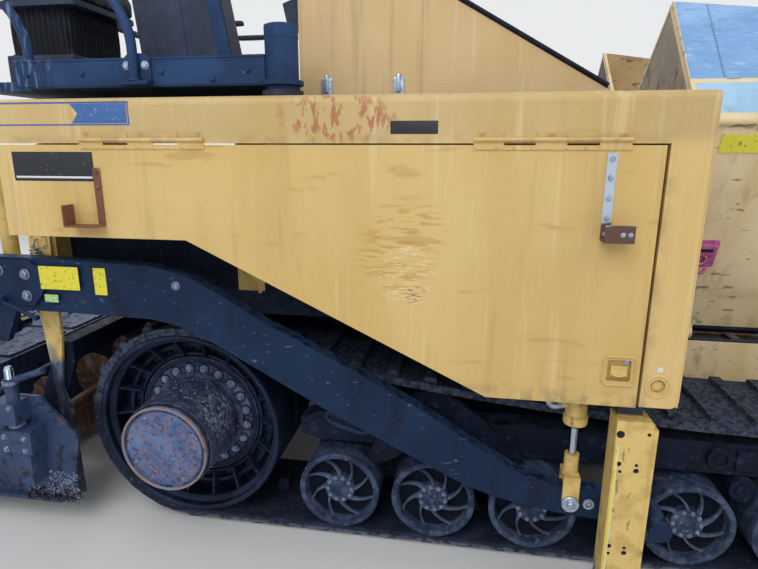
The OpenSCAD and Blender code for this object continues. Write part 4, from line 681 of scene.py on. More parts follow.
def addDoorFurniture():
    look = doorFurniture
    x, z = look["latch"]
    half = look["frameHalf"]
    rim = banded(box(x - half, x + half, z - half, z + half, 22),
                 [(-8, sideY - 2), (-7, sideY + 5), (-5, sideY + 7), (-3, sideY + 7), (-1, sideY + 4),
                  (0, sideY - 2)])
    # plate round the pocket that rounds its corners
    collar = banded(box(x - half + 6, x + half - 6, z - half + 6, z + half - 6, 17),
                    [(0, sideY - 4), (0, sideY + 1), (-10, sideY + 1), (-11, sideY - 4)])
    floor = pressed(box(x - 42, x + 42, z - 42, z + 42, 8), sideY - 18.5, sideY - 16, 1)
    putPair("doorLatchFrame", [rim, collar, floor], "doorEnamel", "side_door")
    grip = look["paddleHalf"]
    paddle = pressed(box(x - grip, x + grip + 3, z - 19, z + 15, 5), sideY - 8, sideY - 1, 3)
    lip = bentRod([(x - grip + 3, -sideY + 1, z - 15), (x, -sideY - 3, z - 17), (x + grip, -sideY + 1, z - 15)], 16,
                3.2, 8, (0, 0, 1))
    lock = turned([(0.5, 0), (9, 0), (9, 3), (7.5, 4.2), (2.5, 4.2), (2.4, 2.5), (0.5, 2.5)],
                  (x + 26, z + 26, sideY - 16), count=24)
    putPair("doorLatchPaddle", [paddle, lip], "fittingEnamel", "side_door")
    putPair("doorLatchLock", [lock], "zincSteel", "side_door")
    spots = np.array([(start + look["hingeScrewStep"] * i, look["hingeScrewZ"], sideY + 3.6)
                      for start, count in look["hingeScrewRows"] for i in range(count)], float)
    head = turned([(5.2, 0), (4.8, 1.3), (3, 2.1), (0.3, 2.4)], count=14)
    putPair("hingeScrews", [repeated(head, placed(spots))], "beamEnamel", "side_door")
    strip = boltHeads(grid([1559], (1350, 1400, 1460, 1520, 1575), sideY + 6), 6)
    lip = boltHeads(grid((1595, 1616), [1358], sideY + 70), 5)
    putPair("hookBolts", [strip, lip], "zincSteel", "side_door")
    putPair("rustyHookBolts", [boltHeads(grid([-141], (1400, 1470, 1520), sideY + 6), 5)], "rustSteel", "side_door")
    putPair("blankPlateOnDoor", [pressed(box(*look["blankPlate"], 3), sideY - 0.5, sideY + 0.7, 0.4)], "foilBlack",
            "side_door")
    putPair("blankPlateStripe", [pressed(box(*look["stripe"], 1), sideY + 0.4, sideY + 1.0, 0.2)], "foilWhite",
            "side_door")


def addBeamFurniture():
    look = beamFurniture
    spots = np.array([(x, z, sideY) for x, z in look["screws"]])
    head = turned([(13, 0), (13, 1.2), (8.5, 1.8), (8, 4), (5.5, 5.6), (2.4, 6), (2.2, 4), (0.3, 4)], count=20)
    putPiece("beamScrews", [repeated(head, placed(spots))], "beamEnamel")
    rim = banded(box(*look["blueRim"], 4), [(0, sideY - 0.5), (0, sideY + 0.6), (-5, sideY + 0.6), (-5, sideY - 0.5)])
    x0, x1, z0, z1 = look["blueField"]
    field = pressed([(x0, z0), (x1, z0), (x1, z1), (x0, z1), (x0 + 26, (z0 + z1) / 2)], sideY - 0.5, sideY + 0.7, 0.3)
    putPiece("blueBlankLabel", [rim, field], "foilBlue")
    putPiece("smallBlankLabel", [pressed(box(*look["smallBlank"], 3), sideY - 0.5, sideY + 0.7, 0.3)], "foilBlack")
    x, z = look["plug"]
    radius = look["plugRadius"]
    ring = turned([(radius + 0.5, -3), (radius + 0.5, 2), (radius - 2, 4), (radius - 7, 4), (radius - 9, 0.5),
                   (radius - 11, 0.5), (radius - 13, 2.5), (24, 2.5), (23, 0), (23, -15), (0.5, -15)],
                  (x, z, sideY), count=56)
    putPiece("pillarPlug", [ring, boltHeads([(x, z, sideY - 15)], 11)], "doorEnamel")
    putPiece("pillarBlankLabel", [pressed(box(x - 7, x + 9, z + 50, z + 66, 2), sideY - 0.5, sideY + 0.7, 0.3)],
             "foilWhite")
    # pressed hem round the panel's front lower corner
    corners = [(1724, 790), (1790, 789), (1826, 800), (1835, 840), (1835, 1300), (1835, 1700)]
    hem = bentRod([(x, -sideY - 0.5, z) for x, z in corners], 60, 2.2, 8)
    putPiece("pillarHem", [hem], "beamEnamel")


addDoorFurniture()
addBeamFurniture()
print("door latch, screws, plug and blank labels")

# tow arms and guide posts
armFurniture = {
    "bolt": (53, 1094), "boltSize": 12, "holes": [(52, 1002), (921, 612), (1034, 592), (1032, 512)],
    "spliceBolts": [(-581, 1118), (-585, 1030), (-698, 1130), (-820, 1130), (-940, 1130), (-1090, 1110),
                    (-1120, 980), (-1120, 860), (-1120, 740)],
    "spliceThick": 14, "pin": (1555, 339), "tip": (1849, 307), "keeper": (1622, 336), "leverEnd": (-540, -1394, 946),
    "yellowBlank": (-517, -345, 1062, 1155), "secondBlank": (-291, -238, 1044, 1152),
    "greenBlank": (-506, -447, 1009, 1040),
}


def addArmFurniture():
    look = armFurniture
    putPiece("armBolts", [boltHeads([look["bolt"] + (armOut,)], look["boltSize"]),
                          boltHeads([(x, z, armOut + look["spliceThick"]) for x, z in look["spliceBolts"]], 15)],
                          "boltSteel", "screed")
    hole = turned([(10, 0), (10, 0.8), (7, 1.4), (0.4, 1.0)], count=18)
    putPiece("armHoles", [repeated(hole, [(x, -armOut, z) for x, z in look["holes"]])], "rubberBlack", "screed")
    # hammered bead where two lengths of plate meet
    way = np.linspace(0, 1, 46)
    bead = np.stack([788 - 60 * way + 2 * np.sin(70 * way), -armOut + 0 * way, 764 - 116 * way], 1)
    putPiece("armWeld", [tubed(bead, 3.5 + 0.8 * np.sin(95 * way), 8)], "armEnamel", "screed")
    loop = smoothPath([(706, -1332, 650), (668, -1332, 622), (632, -1333, 600), (628, -1334, 582), (657, -1335, 560),
                       (710, -1335, 543), (775, -1334, 530), (806, -1332, 548), (812, -1330, 596)], 56)
    putPiece("armStepLoop", [tubed(loop, 9, 12)], "armEnamel", "screed")
    x, z = look["pin"]
    collar = turned([(31, 0), (31, 9), (28, 12), (18, 12), (18, 10), (0.5, 10)], (x, z, 1376.5), count=36)
    putPiece("towPinCollar", [collar, boltHeads([(x, z, 1387)], 12)], "zincSteel", "tow_rods")
    x, z = look["tip"]
    cap = turned([(39.5, 60), (39.5, 66), (36, 71), (24, 73), (22, 76), (0.5, 77)], (x, z, armOut), count=40)
    putPiece("rollerCap", [cap], "armEnamel", "screed")
    keeper = look["keeper"] + (armOut,)
    eye = turned([(13, 0), (19, 1), (21, 6), (19, 11), (13, 12), (11, 6), (13, 0)], keeper, count=28)
    putPiece("keeperRing", [eye, boltHeads([keeper], 8)], "zincSteel", "screed")
    lever = smoothPath([(-700, -1392, 1010), (-660, -1393, 994), (-610, -1394, 975), (-560, -1394, 950),
                        look["leverEnd"]], 24)
    boss = turned([(20, 0), (20, 26), (17, 30), (0.5, 30)], (-700, 1010, armOut + 13), count=24)
    knob = turned([(0.5, -11), (9, -9), (12, 0), (9, 9), (0.5, 11)], count=16)
    putPiece("lockLever", [tubed(lever, 8, 10), boss, repeated(knob, [look["leverEnd"]])], "armEnamel", "screed")
    for name, finish in (("yellowBlank", "foilYellow"), ("secondBlank", "foilYellow"), ("greenBlank", "foilGreen")):
        # the splice plate lifts what stands behind it
        depth = armOut + (look["spliceThick"] if look[name][0] < -500 else 0)
        putPiece(name + "OnArm", [pressed(box(*look[name], 3), depth - 0.5, depth + 0.8, 0.3)], finish, "screed")


postFurniture = {
    "tape": (1664.5, 1671, 150, 640), "tapeEdge": (1671, 1673.5, 150, 640),
    "plugs": [(1674, 682, 13), (1763, 688, 6)],
    "dots": [(1735, 572), (1685, 544), (1729, 248), (1679, 220)],
    "holes": [(1679, 572), (1736, 551), (1678, 249), (1730, 227)],
    "crumbs": 44, "seed": 31,
}


def addPostFurniture():
    look = postFurniture
    for name, key, finish in (("postTape", "tape", "foilYellow"), ("postTapeEdge", "tapeEdge", "foilWhite")):
        putPiece(name, [pressed(box(*look[key], 1), sideY - 0.4, sideY + 0.9, 0.3)], finish)
    spots = [(x, z, r, 1.0) for x, z, r in look["plugs"]] + [(x, z, 5.5, 0.6) for x, z in look["dots"]]
    dots = [turned([(r, -1), (r, h), (r * 0.7, h + 1), (0.3, h + 1.2)], (x, z, sideY), count=18)
            for x, z, r, h in spots]
    sunk = [turned([(8.6, -6), (8.6, -1.5), (6, -0.6), (0.3, -0.4)], (x, z, sideY), count=18)
            for x, z in look["holes"]]
    putPiece("postPlugs", dots + sunk, "rubberBlack")
    dice = np.random.default_rng(look["seed"])
    count = look["crumbs"]
    centres = np.stack([dice.uniform(1664, 1772, count), -sideY - dice.uniform(-1, 2, count),
                        64 + 50 * dice.uniform(0, 1, count) ** 2], 1)
    putPiece("postCrumbs", [stones(centres, dice.uniform(2.5, 6, count), look["seed"])], "bitumenCrumbs", sharp=20)
    # the flange plate's worn foot, bent out a little
    toe = pressed(rounded([(1657, 62), (1779, 62), (1779, 84), (1657, 92)], 5), sideY - 6, sideY + 3, 2)
    putPiece("postToe", [toe], "postEnamel")
    edges = [bentRod([(x, -sideY + 1.5, z) for z in (70, 400, 728)], 30, 2.2, 8) for x in (1661.5, 1774.5)]
    putPiece("postFoldEdges", edges, "postEnamel")


towCylinder = {"x": 1555, "y": 1330, "port": 712}


def addTowCylinder():
    look = towCylinder
    x, y = look["x"], look["y"]
    nut = [(40.5, 0), (43, 2), (43, 26), (40.5, 29), (36, 29)]
    bands = [turned([(r, h + 646) for r, h in nut], (x, -y, 0), "top", 40),
             turned([(38, 1158), (42.5, 1160), (43.5, 1166), (43.5, 1180), (41, 1186)], (x, -y, 0), "top", 40)]
    spanner = repeated(turned([(3.5, 0), (3.5, 3), (0.3, 3.2)], (0, 0, 0), "top", 10),
                       ringPlaces(x, -y, 674, 39.5, 8, 0.2))
    putPiece("cylinderBands", bands + [spanner], "fittingEnamel")
    wiper = turned([(15, 628), (24, 629), (27, 633), (27, 637)], (x, -y, 0), "top", 32)
    putPiece("rodWiper", [wiper], "rubberBlack")
    sleeve = turned([(14.6, 520), (14.6, 640)], (x, -y, 0), "top", 32)
    putPiece("towRodChrome", [sleeve], "rodChrome", "tow_rods")
    # elbow of the hose's fitting, with a nut at each end
    z = look["port"]
    way = ((30, 0), (58, -6), (80, -10), (95, 0), (98, 24), (98, 44))
    elbow = bentRod([(x - back, -y, z + rise) for back, rise in way], 30, 12.5, 14)
    nuts = [repeated(turned([(15, 0), (16.5, 2), (16.5, high - 2), (15, high)], (0, 0, 0), plane, 6, True),
                     [(px, -y, pz)])
            for high, plane, px, pz in ((14, "front", x - 64, z), (16, "top", x - 98, z + 36))]
    putPiece("hoseElbow", [elbow] + nuts, "zincSteel")


addArmFurniture()
addPostFurniture()
addTowCylinder()
print("tow arms, guide posts and tow cylinders")

# running gear
driveWheel = {
    "lip": [(383, -6), (384, 3), (389, 7.5), (396, 8.5), (402, 6), (405, 0), (405, -14)],
    "middleRing": [(318, 0), (319, 6), (325, 9), (333, 9), (339, 6), (340, 0)],
    "boltCircle": 217, "bolts": 20, "boltSize": 14.0, "cup": [(18, 0.5), (21, 5), (24, 5.5), (26, 0)],
    "rimBolts": 18, "ribs": 18,
}
hubDrum = {"radius": 182, "from": 1172, "to": 1420, "crust": 4.5, "cover": 1460, "stones": 90, "seed": 11}


def addDriveWheel():
    look = driveWheel
    at = (0, axleZ, 0)
    outer = turned([(r, h + beltOut - 3) for r, h in look["lip"]], at, count=120)
    step = turned([(362, beltOut - 46), (366, beltOut - 40), (374, beltOut - 38), (385, beltOut - 30)], at, count=96)
    ring = turned([(r, h + discY + 44) for r, h in look["middleRing"]], at, count=96)
    inner = turned([(277, discY + 40), (279, discY + 46), (284, discY + 48), (290, discY + 46), (292, discY + 40)],
                   at, count=96)
    putPiece("driveWheelRims", [outer, step, ring, inner], "wheelEnamel")
    # ledges behind each rib, folded like a shallow roof
    angle = (np.arange(look["ribs"]) + 0.5) * 2 * np.pi / look["ribs"]
    blocks = []
    for a in angle:
        u, v = np.cos(a), np.sin(a)
        corners = [(296, -17), (356, -24), (356, 24), (296, 17)]
        outline = rounded([(u * r - v * s, axleZ + v * r + u * s) for r, s in corners], 5, 3)
        blocks.append(pressed(outline, discY + 18, discY + 26, 4))
    putPiece("driveWheelLedges", blocks, "wheelEnamel")
    places = ringPlaces(0, axleZ, discY + 45, look["boltCircle"], look["bolts"], 0.16)
    cup = turned(look["cup"], count=24)
    putPiece("wheelBoltCups", [repeated(cup, placed(places)),
                               turned([(242, discY + 44), (246, discY + 49), (262, discY + 49), (268, discY + 44)],
                                      at, count=80)], "wheelEnamel")
    putPiece("wheelBolts", [boltHeads(places, look["boltSize"], turn=0.1)], "boltSteel")
    putPiece("wheelRimBolts", [boltHeads(ringPlaces(0, axleZ, discY + 20, 262, look["rimBolts"], 0.05), 6)],
             "wheelEnamel")


def addHubDrum():
    look = hubDrum
    dice = np.random.default_rng(look["seed"])
    # drum radius plus a crust: r = R + sum of low waves round and along the drum, pushed up in lumps
    turn = np.linspace(0, 2 * np.pi, 180, endpoint=False)[None, :]
    deep = np.linspace(0, 1, 56)[:, None]
    lumps = sum(a * np.sin(k * turn + p + 3 * np.sin(2 * turn + p)) * np.sin(m * deep * np.pi + q)
                for a, k, m, p, q in zip((0.5, 0.45, 0.4, 0.32, 0.25, 0.2), (3, 7, 12, 19, 31, 47),
                                         (2, 3, 5, 9, 13, 19), dice.uniform(0, 6, 6), dice.uniform(0, 6, 6)))
    fade = np.sin(np.pi * np.clip(deep, 0.02, 0.98)) ** 0.35
    r = look["radius"] + 1.5 + look["crust"] * (0.35 + np.clip(lumps, -0.35, 1.2)) * fade
    h = look["from"] + (look["to"] - look["from"]) * deep + 0 * turn
    points = laid(r * np.cos(turn), axleZ + r * np.sin(turn), h, "side").reshape(-1, 3)
    crust = (points, gridFaces(56, 180, wrapCols=True))
    count = look["stones"]
    a, d = dice.uniform(0.35, 2 * np.pi, count), dice.uniform(0.05, 0.95, count)
    reach = look["radius"] + 4 + dice.uniform(0, 4, count)
    centres = laid(reach * np.cos(a), axleZ + reach * np.sin(a), look["from"] + (look["to"] - look["from"]) * d,
                   "side")
    middle = (0, axleZ, look["cover"])
    ledge = turned([(182, -46), (186, -42), (186, -30), (181, -26)], middle, count=96)
    putPiece("hubCrust", [crust, ledge], "asphaltCrust", sharp=60)
    putPiece("hubStones", [stones(centres, dice.uniform(2.5, 6, count), look["seed"])], "stoneGrey", sharp=20)
    # cover with its raised rim, shallow dome and four screws
    rim = turned([(172, -26), (176, -18), (179, -6), (179, 4), (177, 7), (172, 7), (170, 4), (169, -7)], middle,
                 count=120)
    face = turned([(170, -7), (162, -7), (161, -2), (157, -0.5), (120, 0), (60, 1), (0.5, 1.5)], middle, count=96)
    putPiece("hubCoverRim", [rim], "coverRim")
    putPiece("hubCoverFace", [face], "coverFace")
    dome = turned([(8, 0), (7.5, 2), (5, 4), (0.4, 5)], count=18)
    spots = ringPlaces(0, axleZ, look["cover"] - 0.5, 143, 4, 0.5)
    putPiece("hubCoverScrews", [repeated(dome, placed(spots))], "boltSteel")


roadWheel = {
    "spokes": 8, "sweep": 0.55, "spokeHalf": 7.0, "floor": 1221.5, "hubRise": 36.0, "rimRise": 24.0,
    "hub": 0.36, "cap": 0.215, "bolts": 10, "boltSize": 6.0, "boltRadius": 0.3,
}


def wheelFace(x, z, r):
    # cast face: thin ribs that lean by sweep radians from hub to rim stand on a deep floor;
    # depth = floor + rise(u) * exp(-(d/half)^4), where d is the way along the circle to the nearest rib
    # and the rise falls from hub to rim
    look = roadWheel
    size = r / 168
    angle = np.arange(320) * 2 * np.pi / 320
    u = np.linspace(0, 1, 14)[:, None]
    radius = look["hub"] * r + (r - 24 - look["hub"] * r) * u
    step = 2 * np.pi / look["spokes"]
    lean = angle[None, :] - look["sweep"] * u
    d = np.abs((lean + step / 2) % step - step / 2) * radius
    half = look["spokeHalf"] * size * (1.25 - 0.45 * np.sin(np.pi * u))
    rise = look["hubRise"] + (look["rimRise"] - look["hubRise"]) * u
    fillet = 14 * (np.clip(1 - 7 * u, 0, 1) + np.clip(7 * u - 6, 0, 1))
    depth = look["floor"] + np.maximum(rise * np.exp(-(d / half) ** 4), fillet)
    points = laid(radius * np.cos(angle), radius * np.sin(angle), depth, "side").reshape(-1, 3) + (x, 0, z)
    return points, gridFaces(14, 320, wrapCols=True)


def addRoadWheels():
    look = roadWheel
    faces, rims, caps, bolts = [], [], [], []
    for x, z, r in [(x, wheelZ, 168.0) for x in wheelXs] + [(idlerX, idlerZ, 265.0)]:
        hubFace = look["floor"] + look["hubRise"]
        faces.append(wheelFace(x, z, r))
        rims.append(turned([(r - 25, beltOut - 52), (r - 23, beltOut - 6), (r - 20, beltOut + 1),
                            (r - 15, beltOut + 3), (r - 6, beltOut + 2), (r - 2, beltOut - 2),
                            (r - 1, beltOut - 9)], (x, z, 0), count=72))
        hub = look["hub"] * r
        rims.append(turned([(hub + 1, hubFace - 12), (hub + 1, hubFace - 1), (hub - 2, hubFace + 2),
                            (look["cap"] * r, hubFace + 2)], (x, z, 0), count=56))
        cap = look["cap"] * r
        caps.append(turned([(cap + 2, hubFace - 2), (cap + 2, hubFace + 4), (cap - 1, hubFace + 6),
                            (cap - 7, hubFace + 6), (cap - 8, hubFace + 4), (12, hubFace + 4), (11, hubFace + 8),
                            (7, hubFace + 9), (0.5, hubFace + 9)], (x, z, 0), count=44))
        bolts.append(boltHeads(ringPlaces(x, z, hubFace + 2, look["boltRadius"] * r, look["bolts"], x),
                               look["boltSize"] * r / 168))
    putPiece("roadWheelFaces", faces, "wheelWeb", sharp=50)
    putPiece("roadWheelRims", rims, "castIron")
    putPiece("roadWheelCaps", caps, "castIron")
    putPiece("roadWheelBolts", bolts, "boltSteel")


addDriveWheel()
addHubDrum()
addRoadWheels()
print("drive wheels, hub drums and road wheels")

# hopper
hopper = {
    "rear": 1930.0, "length": 1810.0, "thick": 16.0,
    # the wing's section from the hinge up: (out from the middle, up)
    "section": [(662.0, 844.0), (1010.0, 1700.0), (915.0, 1840.0), (610.0, 2185.0)],
    "topRear": 2190.0, "topFront": 1960.0, "dent": 5.0, "seed": 7, "seam": 2052.0,
    "bracketX": 2092.0, "bracketShare": 0.41,
}


def wingPoint(x, share, leg, out):
    # point on the wing's outer face: along leg number leg of its section, pushed out square to it
    a, b = np.array(hopper["section"][leg]), np.array(hopper["section"][leg + 1])
    away = np.array([(b - a)[1], -(b - a)[0]]) / np.linalg.norm(b - a)
    place = a + (b - a) * share[..., None] + away * (hopper["thick"] + out)[..., None]
    return np.stack([x + 0 * share, -place[..., 0], place[..., 1]], -1)


def wingSheet(x0, x1, leg, low, high, lift, rows=40, cols=90):
    # thin skin on the wing: dents are a sum of wide waves; a slanted top edge follows the wing's own
    look = hopper
    dice = np.random.default_rng(look["seed"] + leg)
    across, up = np.meshgrid(np.linspace(0, 1, cols), np.linspace(0, 1, rows), indexing="ij")
    x = x0 + (x1 - x0) * across
    waves = sum(a * np.sin(k * x / 1000 * 6.3 + p) * np.sin(m * up * 3.1 + q) for a, k, m, p, q in
                zip((0.5, 0.3, 0.2), (0.7, 1.6, 3.1), (1.0, 2.2, 4.1), dice.uniform(0, 6, 3), dice.uniform(0, 6, 3)))
    fade = np.minimum(1, 12 * np.minimum(np.minimum(across, 1 - across), np.minimum(up, 1 - up)))
    a, b = look["section"][leg], look["section"][leg + 1]
    top = look["topRear"] + (look["topFront"] - look["topRear"]) * (x - look["rear"]) / look["length"] - 12
    share = low(x) + (np.minimum(high(x), (top - a[1]) / (b[1] - a[1])) - low(x)) * up
    out = lift + fade * (1.5 + look["dent"] * (0.5 + 0.5 * waves))
    front = wingPoint(x, share, leg, out)
    back = wingPoint(x, share, leg, 0 * out - 1)
    edge = np.concatenate([front[:1], front, front[-1:]])
    edge[0], edge[-1] = back[0], back[-1]
    edge = np.concatenate([edge[:, :1], edge, edge[:, -1:]], 1)
    edge[1:-1, 0], edge[1:-1, -1] = back[:, 0], back[:, -1]
    return edge.reshape(-1, 3), gridFaces(cols + 2, rows + 2)


def addHopperSkins():
    look = hopper
    rear, front = look["rear"] + 3, look["rear"] + look["length"] - 3
    seam = look["seam"]

    def share(value):
        return lambda x: 0 * x + value

    putPair("wingBareSteel", [wingSheet(rear, seam, 2, share(0.02), share(1.0), 0.0, 30, 24),
                              wingSheet(seam + 3, front, 2, share(0.02), share(1.0), 0.4)],
            "bareSteel", "hopper_wing")
    weld = np.linspace(0.03, 0.925, 60)
    bead = wingPoint(np.full(60, seam + 1.5), weld, 2, 4.0 + 0 * weld)
    putPair("wingSeamWeld", [tubed(bead, 2.4 + 0.5 * np.sin(np.arange(60) * 2.1), 8, (1, 0, 0))], "bareSteel",
            "hopper_wing")
    bays = ((rear + 22, rear + 590), (rear + 622, rear + 1190), (rear + 1225, front - 18))
    putPair("wingLowerSkin", [wingSheet(x0, x1, 0, share(0.16), share(0.96), 0.0, 40, 40) for x0, x1 in bays],
            "hopperEnamel", "hopper_wing")
    # the shoulder band's pale blue is painted sky light
    putPair("wingUpperBand", [wingSheet(rear, front, 1, share(0.16), share(0.95), 0.0, 14, 60)],
            "paintedSkyBand", "hopper_wing")
    p = look["section"]
    wall = rounded([(-p[0][0] - 4, p[0][1] + 6), (-p[1][0], p[1][1]), (-p[2][0], p[2][1]), (-p[3][0], p[3][1] - 4),
                    (-252, 1880)], 6)
    shape = pressed(wall * (-1, 1), 0, 2.0, 1.2, "front")
    points = shape[0] * (-1, -1, 1) + (look["rear"] + 0.5, 0, 0)
    # the right sheet is grey-beige, a darker tone painted as shade on the end wall; the left one is stained brown
    putPiece("wingEndSkin_right", [(points, shape[1])], "endSheet", "hopper_wing_right", "right")
    putPiece("wingEndSkin_left", [(points, shape[1])], "scorchedSteel", "hopper_wing_left", "left")
    band = banded(wall * (-1, 1), [(-1, 0.5), (-1, 4), (-14, 4), (-14, 0.5)], "front")
    putPair("wingEndBand", [(band[0] * (-1, -1, 1) + (look["rear"] + 0.5, 0, 0), band[1])], "hopperEnamel",
            "hopper_wing")
    # pink bracket with a slot, a ring and a hook below
    base = wingPoint(np.array([look["bracketX"]]), np.array([look["bracketShare"]]), 0, np.array([0.0]))[0]
    tilt = np.arctan2(p[1][0] - p[0][0], p[1][1] - p[0][1])
    plate = pressed(box(-60, 60, -62, 66, 10), 0, 8, 2)
    body = pressed(box(-46, 46, 6, 56, 12), 6, 30, 6)
    slot = pressed(box(-34, 34, 24, 38, 5), 29, 31.5, 1)
    angle = np.linspace(0, 2 * np.pi, 41)
    ring = tubed(np.stack([22 * np.cos(angle), -14 + 0 * angle, -22 + 22 * np.sin(angle)], 1), 5.5, 10)
    hook = bentRod([(-8, -10, -48), (-6, -24, -66), (8, -30, -80), (24, -26, -72), (28, -20, -58)], 24, 6, 10,
                   (1, 0, 0))
    for name, shapes, finish in (("lampBracket", [plate, body, hook], "lampRed"),
                                 ("lampSlot", [slot], "rubberBlack"), ("lampRing", [ring], "lampGlass")):
        shape = joined(shapes)
        u, d, v = shape[0][:, 0], -shape[0][:, 1], shape[0][:, 2]
        turnedPoints = np.stack([base[0] + u, base[1] - d * np.cos(tilt) - v * np.sin(tilt),
                                 base[2] - d * np.sin(tilt) + v * np.cos(tilt)], 1)
        putPair(name, [(turnedPoints, shape[1])], finish, "hopper_wing")
    # yellow-green blank plate beside the panel
    x, up = np.array([2035.0, 2175.0, 2175.0, 2035.0]), np.array([0.885, 0.885, 0.955, 0.955])
    plate = np.vstack([wingPoint(x, up, 0, np.full(4, out)) for out in (1.0, 7.5)])
    sides = [[0, 1, 2, 3], [4, 5, 6, 7], [0, 1, 5, 4], [1, 2, 6, 5], [2, 3, 7, 6], [3, 0, 4, 7]]
    putPair("blankPlateOnWing", [(plate, sides)], "foilYellow", "hopper_wing")
    # bolts of the hopper's hinges and of the push bar
    hinge = [(x + dx, 775.0, 672.5) for x in (1970, 2770, 3570) for dx in (22, 68)]
    putPiece("hopperHingeBolts", [boltHeads(hinge, 9)], "boltSteel")
    bar = [(-y, z, 4099.5) for y in (110, 260, 560, 860, 990) for z in (450, 550)]
    putPiece("pushBarBolts", [boltHeads(bar, 12, "front")], "boltSteel", "push_bar")
    cap = [turned([(r, h) for r, h in ((84, -3), (84, 2), (80, 5), (60, 5), (58, 1), (34, 1), (33, 7), (30, 9),
                                       (0.5, 9))], (4245, 500, 1040), count=56)]
    for side in ("right", "left"):
        putPiece("pushRollerCap_" + side, cap, "rustSteel", "push_roller_" + side, side)


addHopperSkins()
print("hopper skins, brackets and fittings")

# rear: end gates, blades, screed
gate = {
    "plane": 1395.0, "jackX": -655.0, "jackY": 1440.0, "turns": 9, "crumbs": 150, "lumps": 40, "greyCrumbs": 420,
    "seed": 21,
}


def addGateFurniture():
    look = gate
    x, y = look["jackX"], look["jackY"]
    turns = np.linspace(0, 2 * np.pi * look["turns"], 220)
    thread = np.stack([x - 10 + 15.5 * np.cos(turns), -y + 15.5 * np.sin(turns), 695 + turns / turns[-1] * 44], 1)
    spindle = turned([(14.5, 690), (14.5, 744), (12, 748), (0.5, 748)], (x - 10, -y, 0), "top", 24)
    putPair("gateSpindle", [spindle, tubed(thread, 1.6, 6, (0, 0, 1))], "rodChrome", "end_gate")
    collar = [turned([(24.5, h), (31, h + 2), (31, h + 16), (24.5, h + 18)], (x - 10, -y, 0), "top", 32)
              for h in (486, 672)]
    bolts = boltHeads(grid((x - 40, x + 50), (400, 455), 1482) + [(x - 65, 540, 1476), (x, 580, 1476)], 9)
    putPair("gateJackFittings", collar + [bolts], "boltSteel", "end_gate")
    rear = boltHeads(grid((-1767, -1713), (330, 400), 1475), 8)
    ribs = [pressed(box(px, px + 9, 150, 470, 3), look["plane"] - 1, look["plane"] + 16, 3)
            for px in (-1600, -1300, -1000)]
    rail = pressed(box(-1840, -770, 462, 478, 4), look["plane"] - 1, look["plane"] + 14, 4)
    putPair("gateRibs", [rear, rail] + ribs, "screedSteel", "end_gate")
    dice = np.random.default_rng(look["seed"])
    count = look["crumbs"]
    way = dice.uniform(0, 1, count)
    centres = np.stack([-750 + 300 * way, -look["plane"] - dice.uniform(-4, 6, count),
                        130 + 12 * dice.uniform(0, 1, count) ** 2 * 4 + 60 * np.clip(way - 0.85, 0, 1)], 1)
    few, many = look["lumps"], look["greyCrumbs"]
    lumps = np.stack([-690 + 220 * dice.uniform(0, 1, few), -look["plane"] - 12 - dice.uniform(0, 14, few),
                      138 + dice.uniform(0, 8, few)], 1)
    grey = np.stack([-710 + 250 * dice.uniform(0, 1, many), -look["plane"] - dice.uniform(-2, 3, many),
                     110 + 150 * dice.uniform(0, 1, many) ** 1.3], 1)
    putPair("gateGreyCrumbs", [stones(grey, dice.uniform(3, 6.5, many), 9)], "stoneGrey", "end_gate")
    putPair("gateCrumbs", [stones(centres, dice.uniform(3, 9, count), 3), stones(lumps, dice.uniform(6, 13, few), 5)],
            "bitumenCrumbs", "end_gate")


screedBox = {
    "lid": 630, "lidBolts": ((-1410, -1030), (-270, -440, -615, -710, -880, -1050)), "lidBoltSize": 8,
    "grips": (-440, -880), "gripX": -1230,
    "gripBow": ((-50, 629), (-48, 652), (-20, 662), (20, 662), (48, 652), (50, 629)),
    "gasLine": (-1440, 634), "gasStops": (-40, -300, -600, -900, -1150), "clips": (150, 450, 750, 1050),
    "edges": (-1295, -12), "buttons": ((-1730, -1695, -1660, -1625), (1040, 1078)),
    "trim": ((-1765, 1085), (-1700, 1118), (-1635, 1143), (-1592, 1158)), "trimSides": (-1188, -1362),
    "standBolts": [(-1690, -1330, 480), (-1640, -1330, 480), (-1780, -200, 620), (-1560, -200, 620)],
}


def addScreedFurniture():
    look = screedBox
    xs, ys = look["lidBolts"]
    spots = [(x, y, look["lid"]) for x in xs for y in ys]
    putPiece("screedLidBolts", [boltHeads(spots, look["lidBoltSize"], "top")], "boltSteel", "screed")
    grips = [bentRod([(look["gripX"], y + side, z) for side, z in look["gripBow"]], 30, 6, 10, (1, 0, 0))
             for y in look["grips"]]
    putPiece("screedLidGrips", grips, "rubberBlack", "screed")
    # gas line over the box, clipped every so often
    x, z = look["gasLine"]
    line = bentRod([(x, y, z) for y in look["gasStops"]], 60, 8, 12, (0, 0, 1))
    clips = [turned([(12, -6), (14, -5), (14, 5), (12, 6)], (x, z, y), "side", 20) for y in look["clips"]]
    putPiece("screedGasLine", [line] + clips, "boltSteel", "screed")
    edge = [pressed(box(-1480, -945, y0, y0 + 8, 2), 500, 506, 2, "top") for y0 in look["edges"]]
    putPiece("screedEdges", edge, "screedSteel", "screed")
    knob = turned([(14, 0), (14, 8), (10, 14), (0.5, 15)], (0, 0, 0), "side", 18)
    # control box on the extender's stand: buttons on the face that looks inward, and a rubber trim
    xs, zs = look["buttons"]
    buttons = [(knob[0] * (1, -1, 1) + (x, -1180, z), knob[1]) for x in xs for z in zs]
    putPair("screedButtons", buttons, "lampRed", "screed_extender")
    trim = [bentRod([(x, y, z) for x, z in look["trim"]], 20, 5, 8) for y in look["trimSides"]]
    putPair("screedBoxTrim", trim, "rubberBlack", "screed_extender")
    putPair("screedStandBolts", [boltHeads(look["standBolts"], 8, "top")], "boltSteel", "screed_extender")


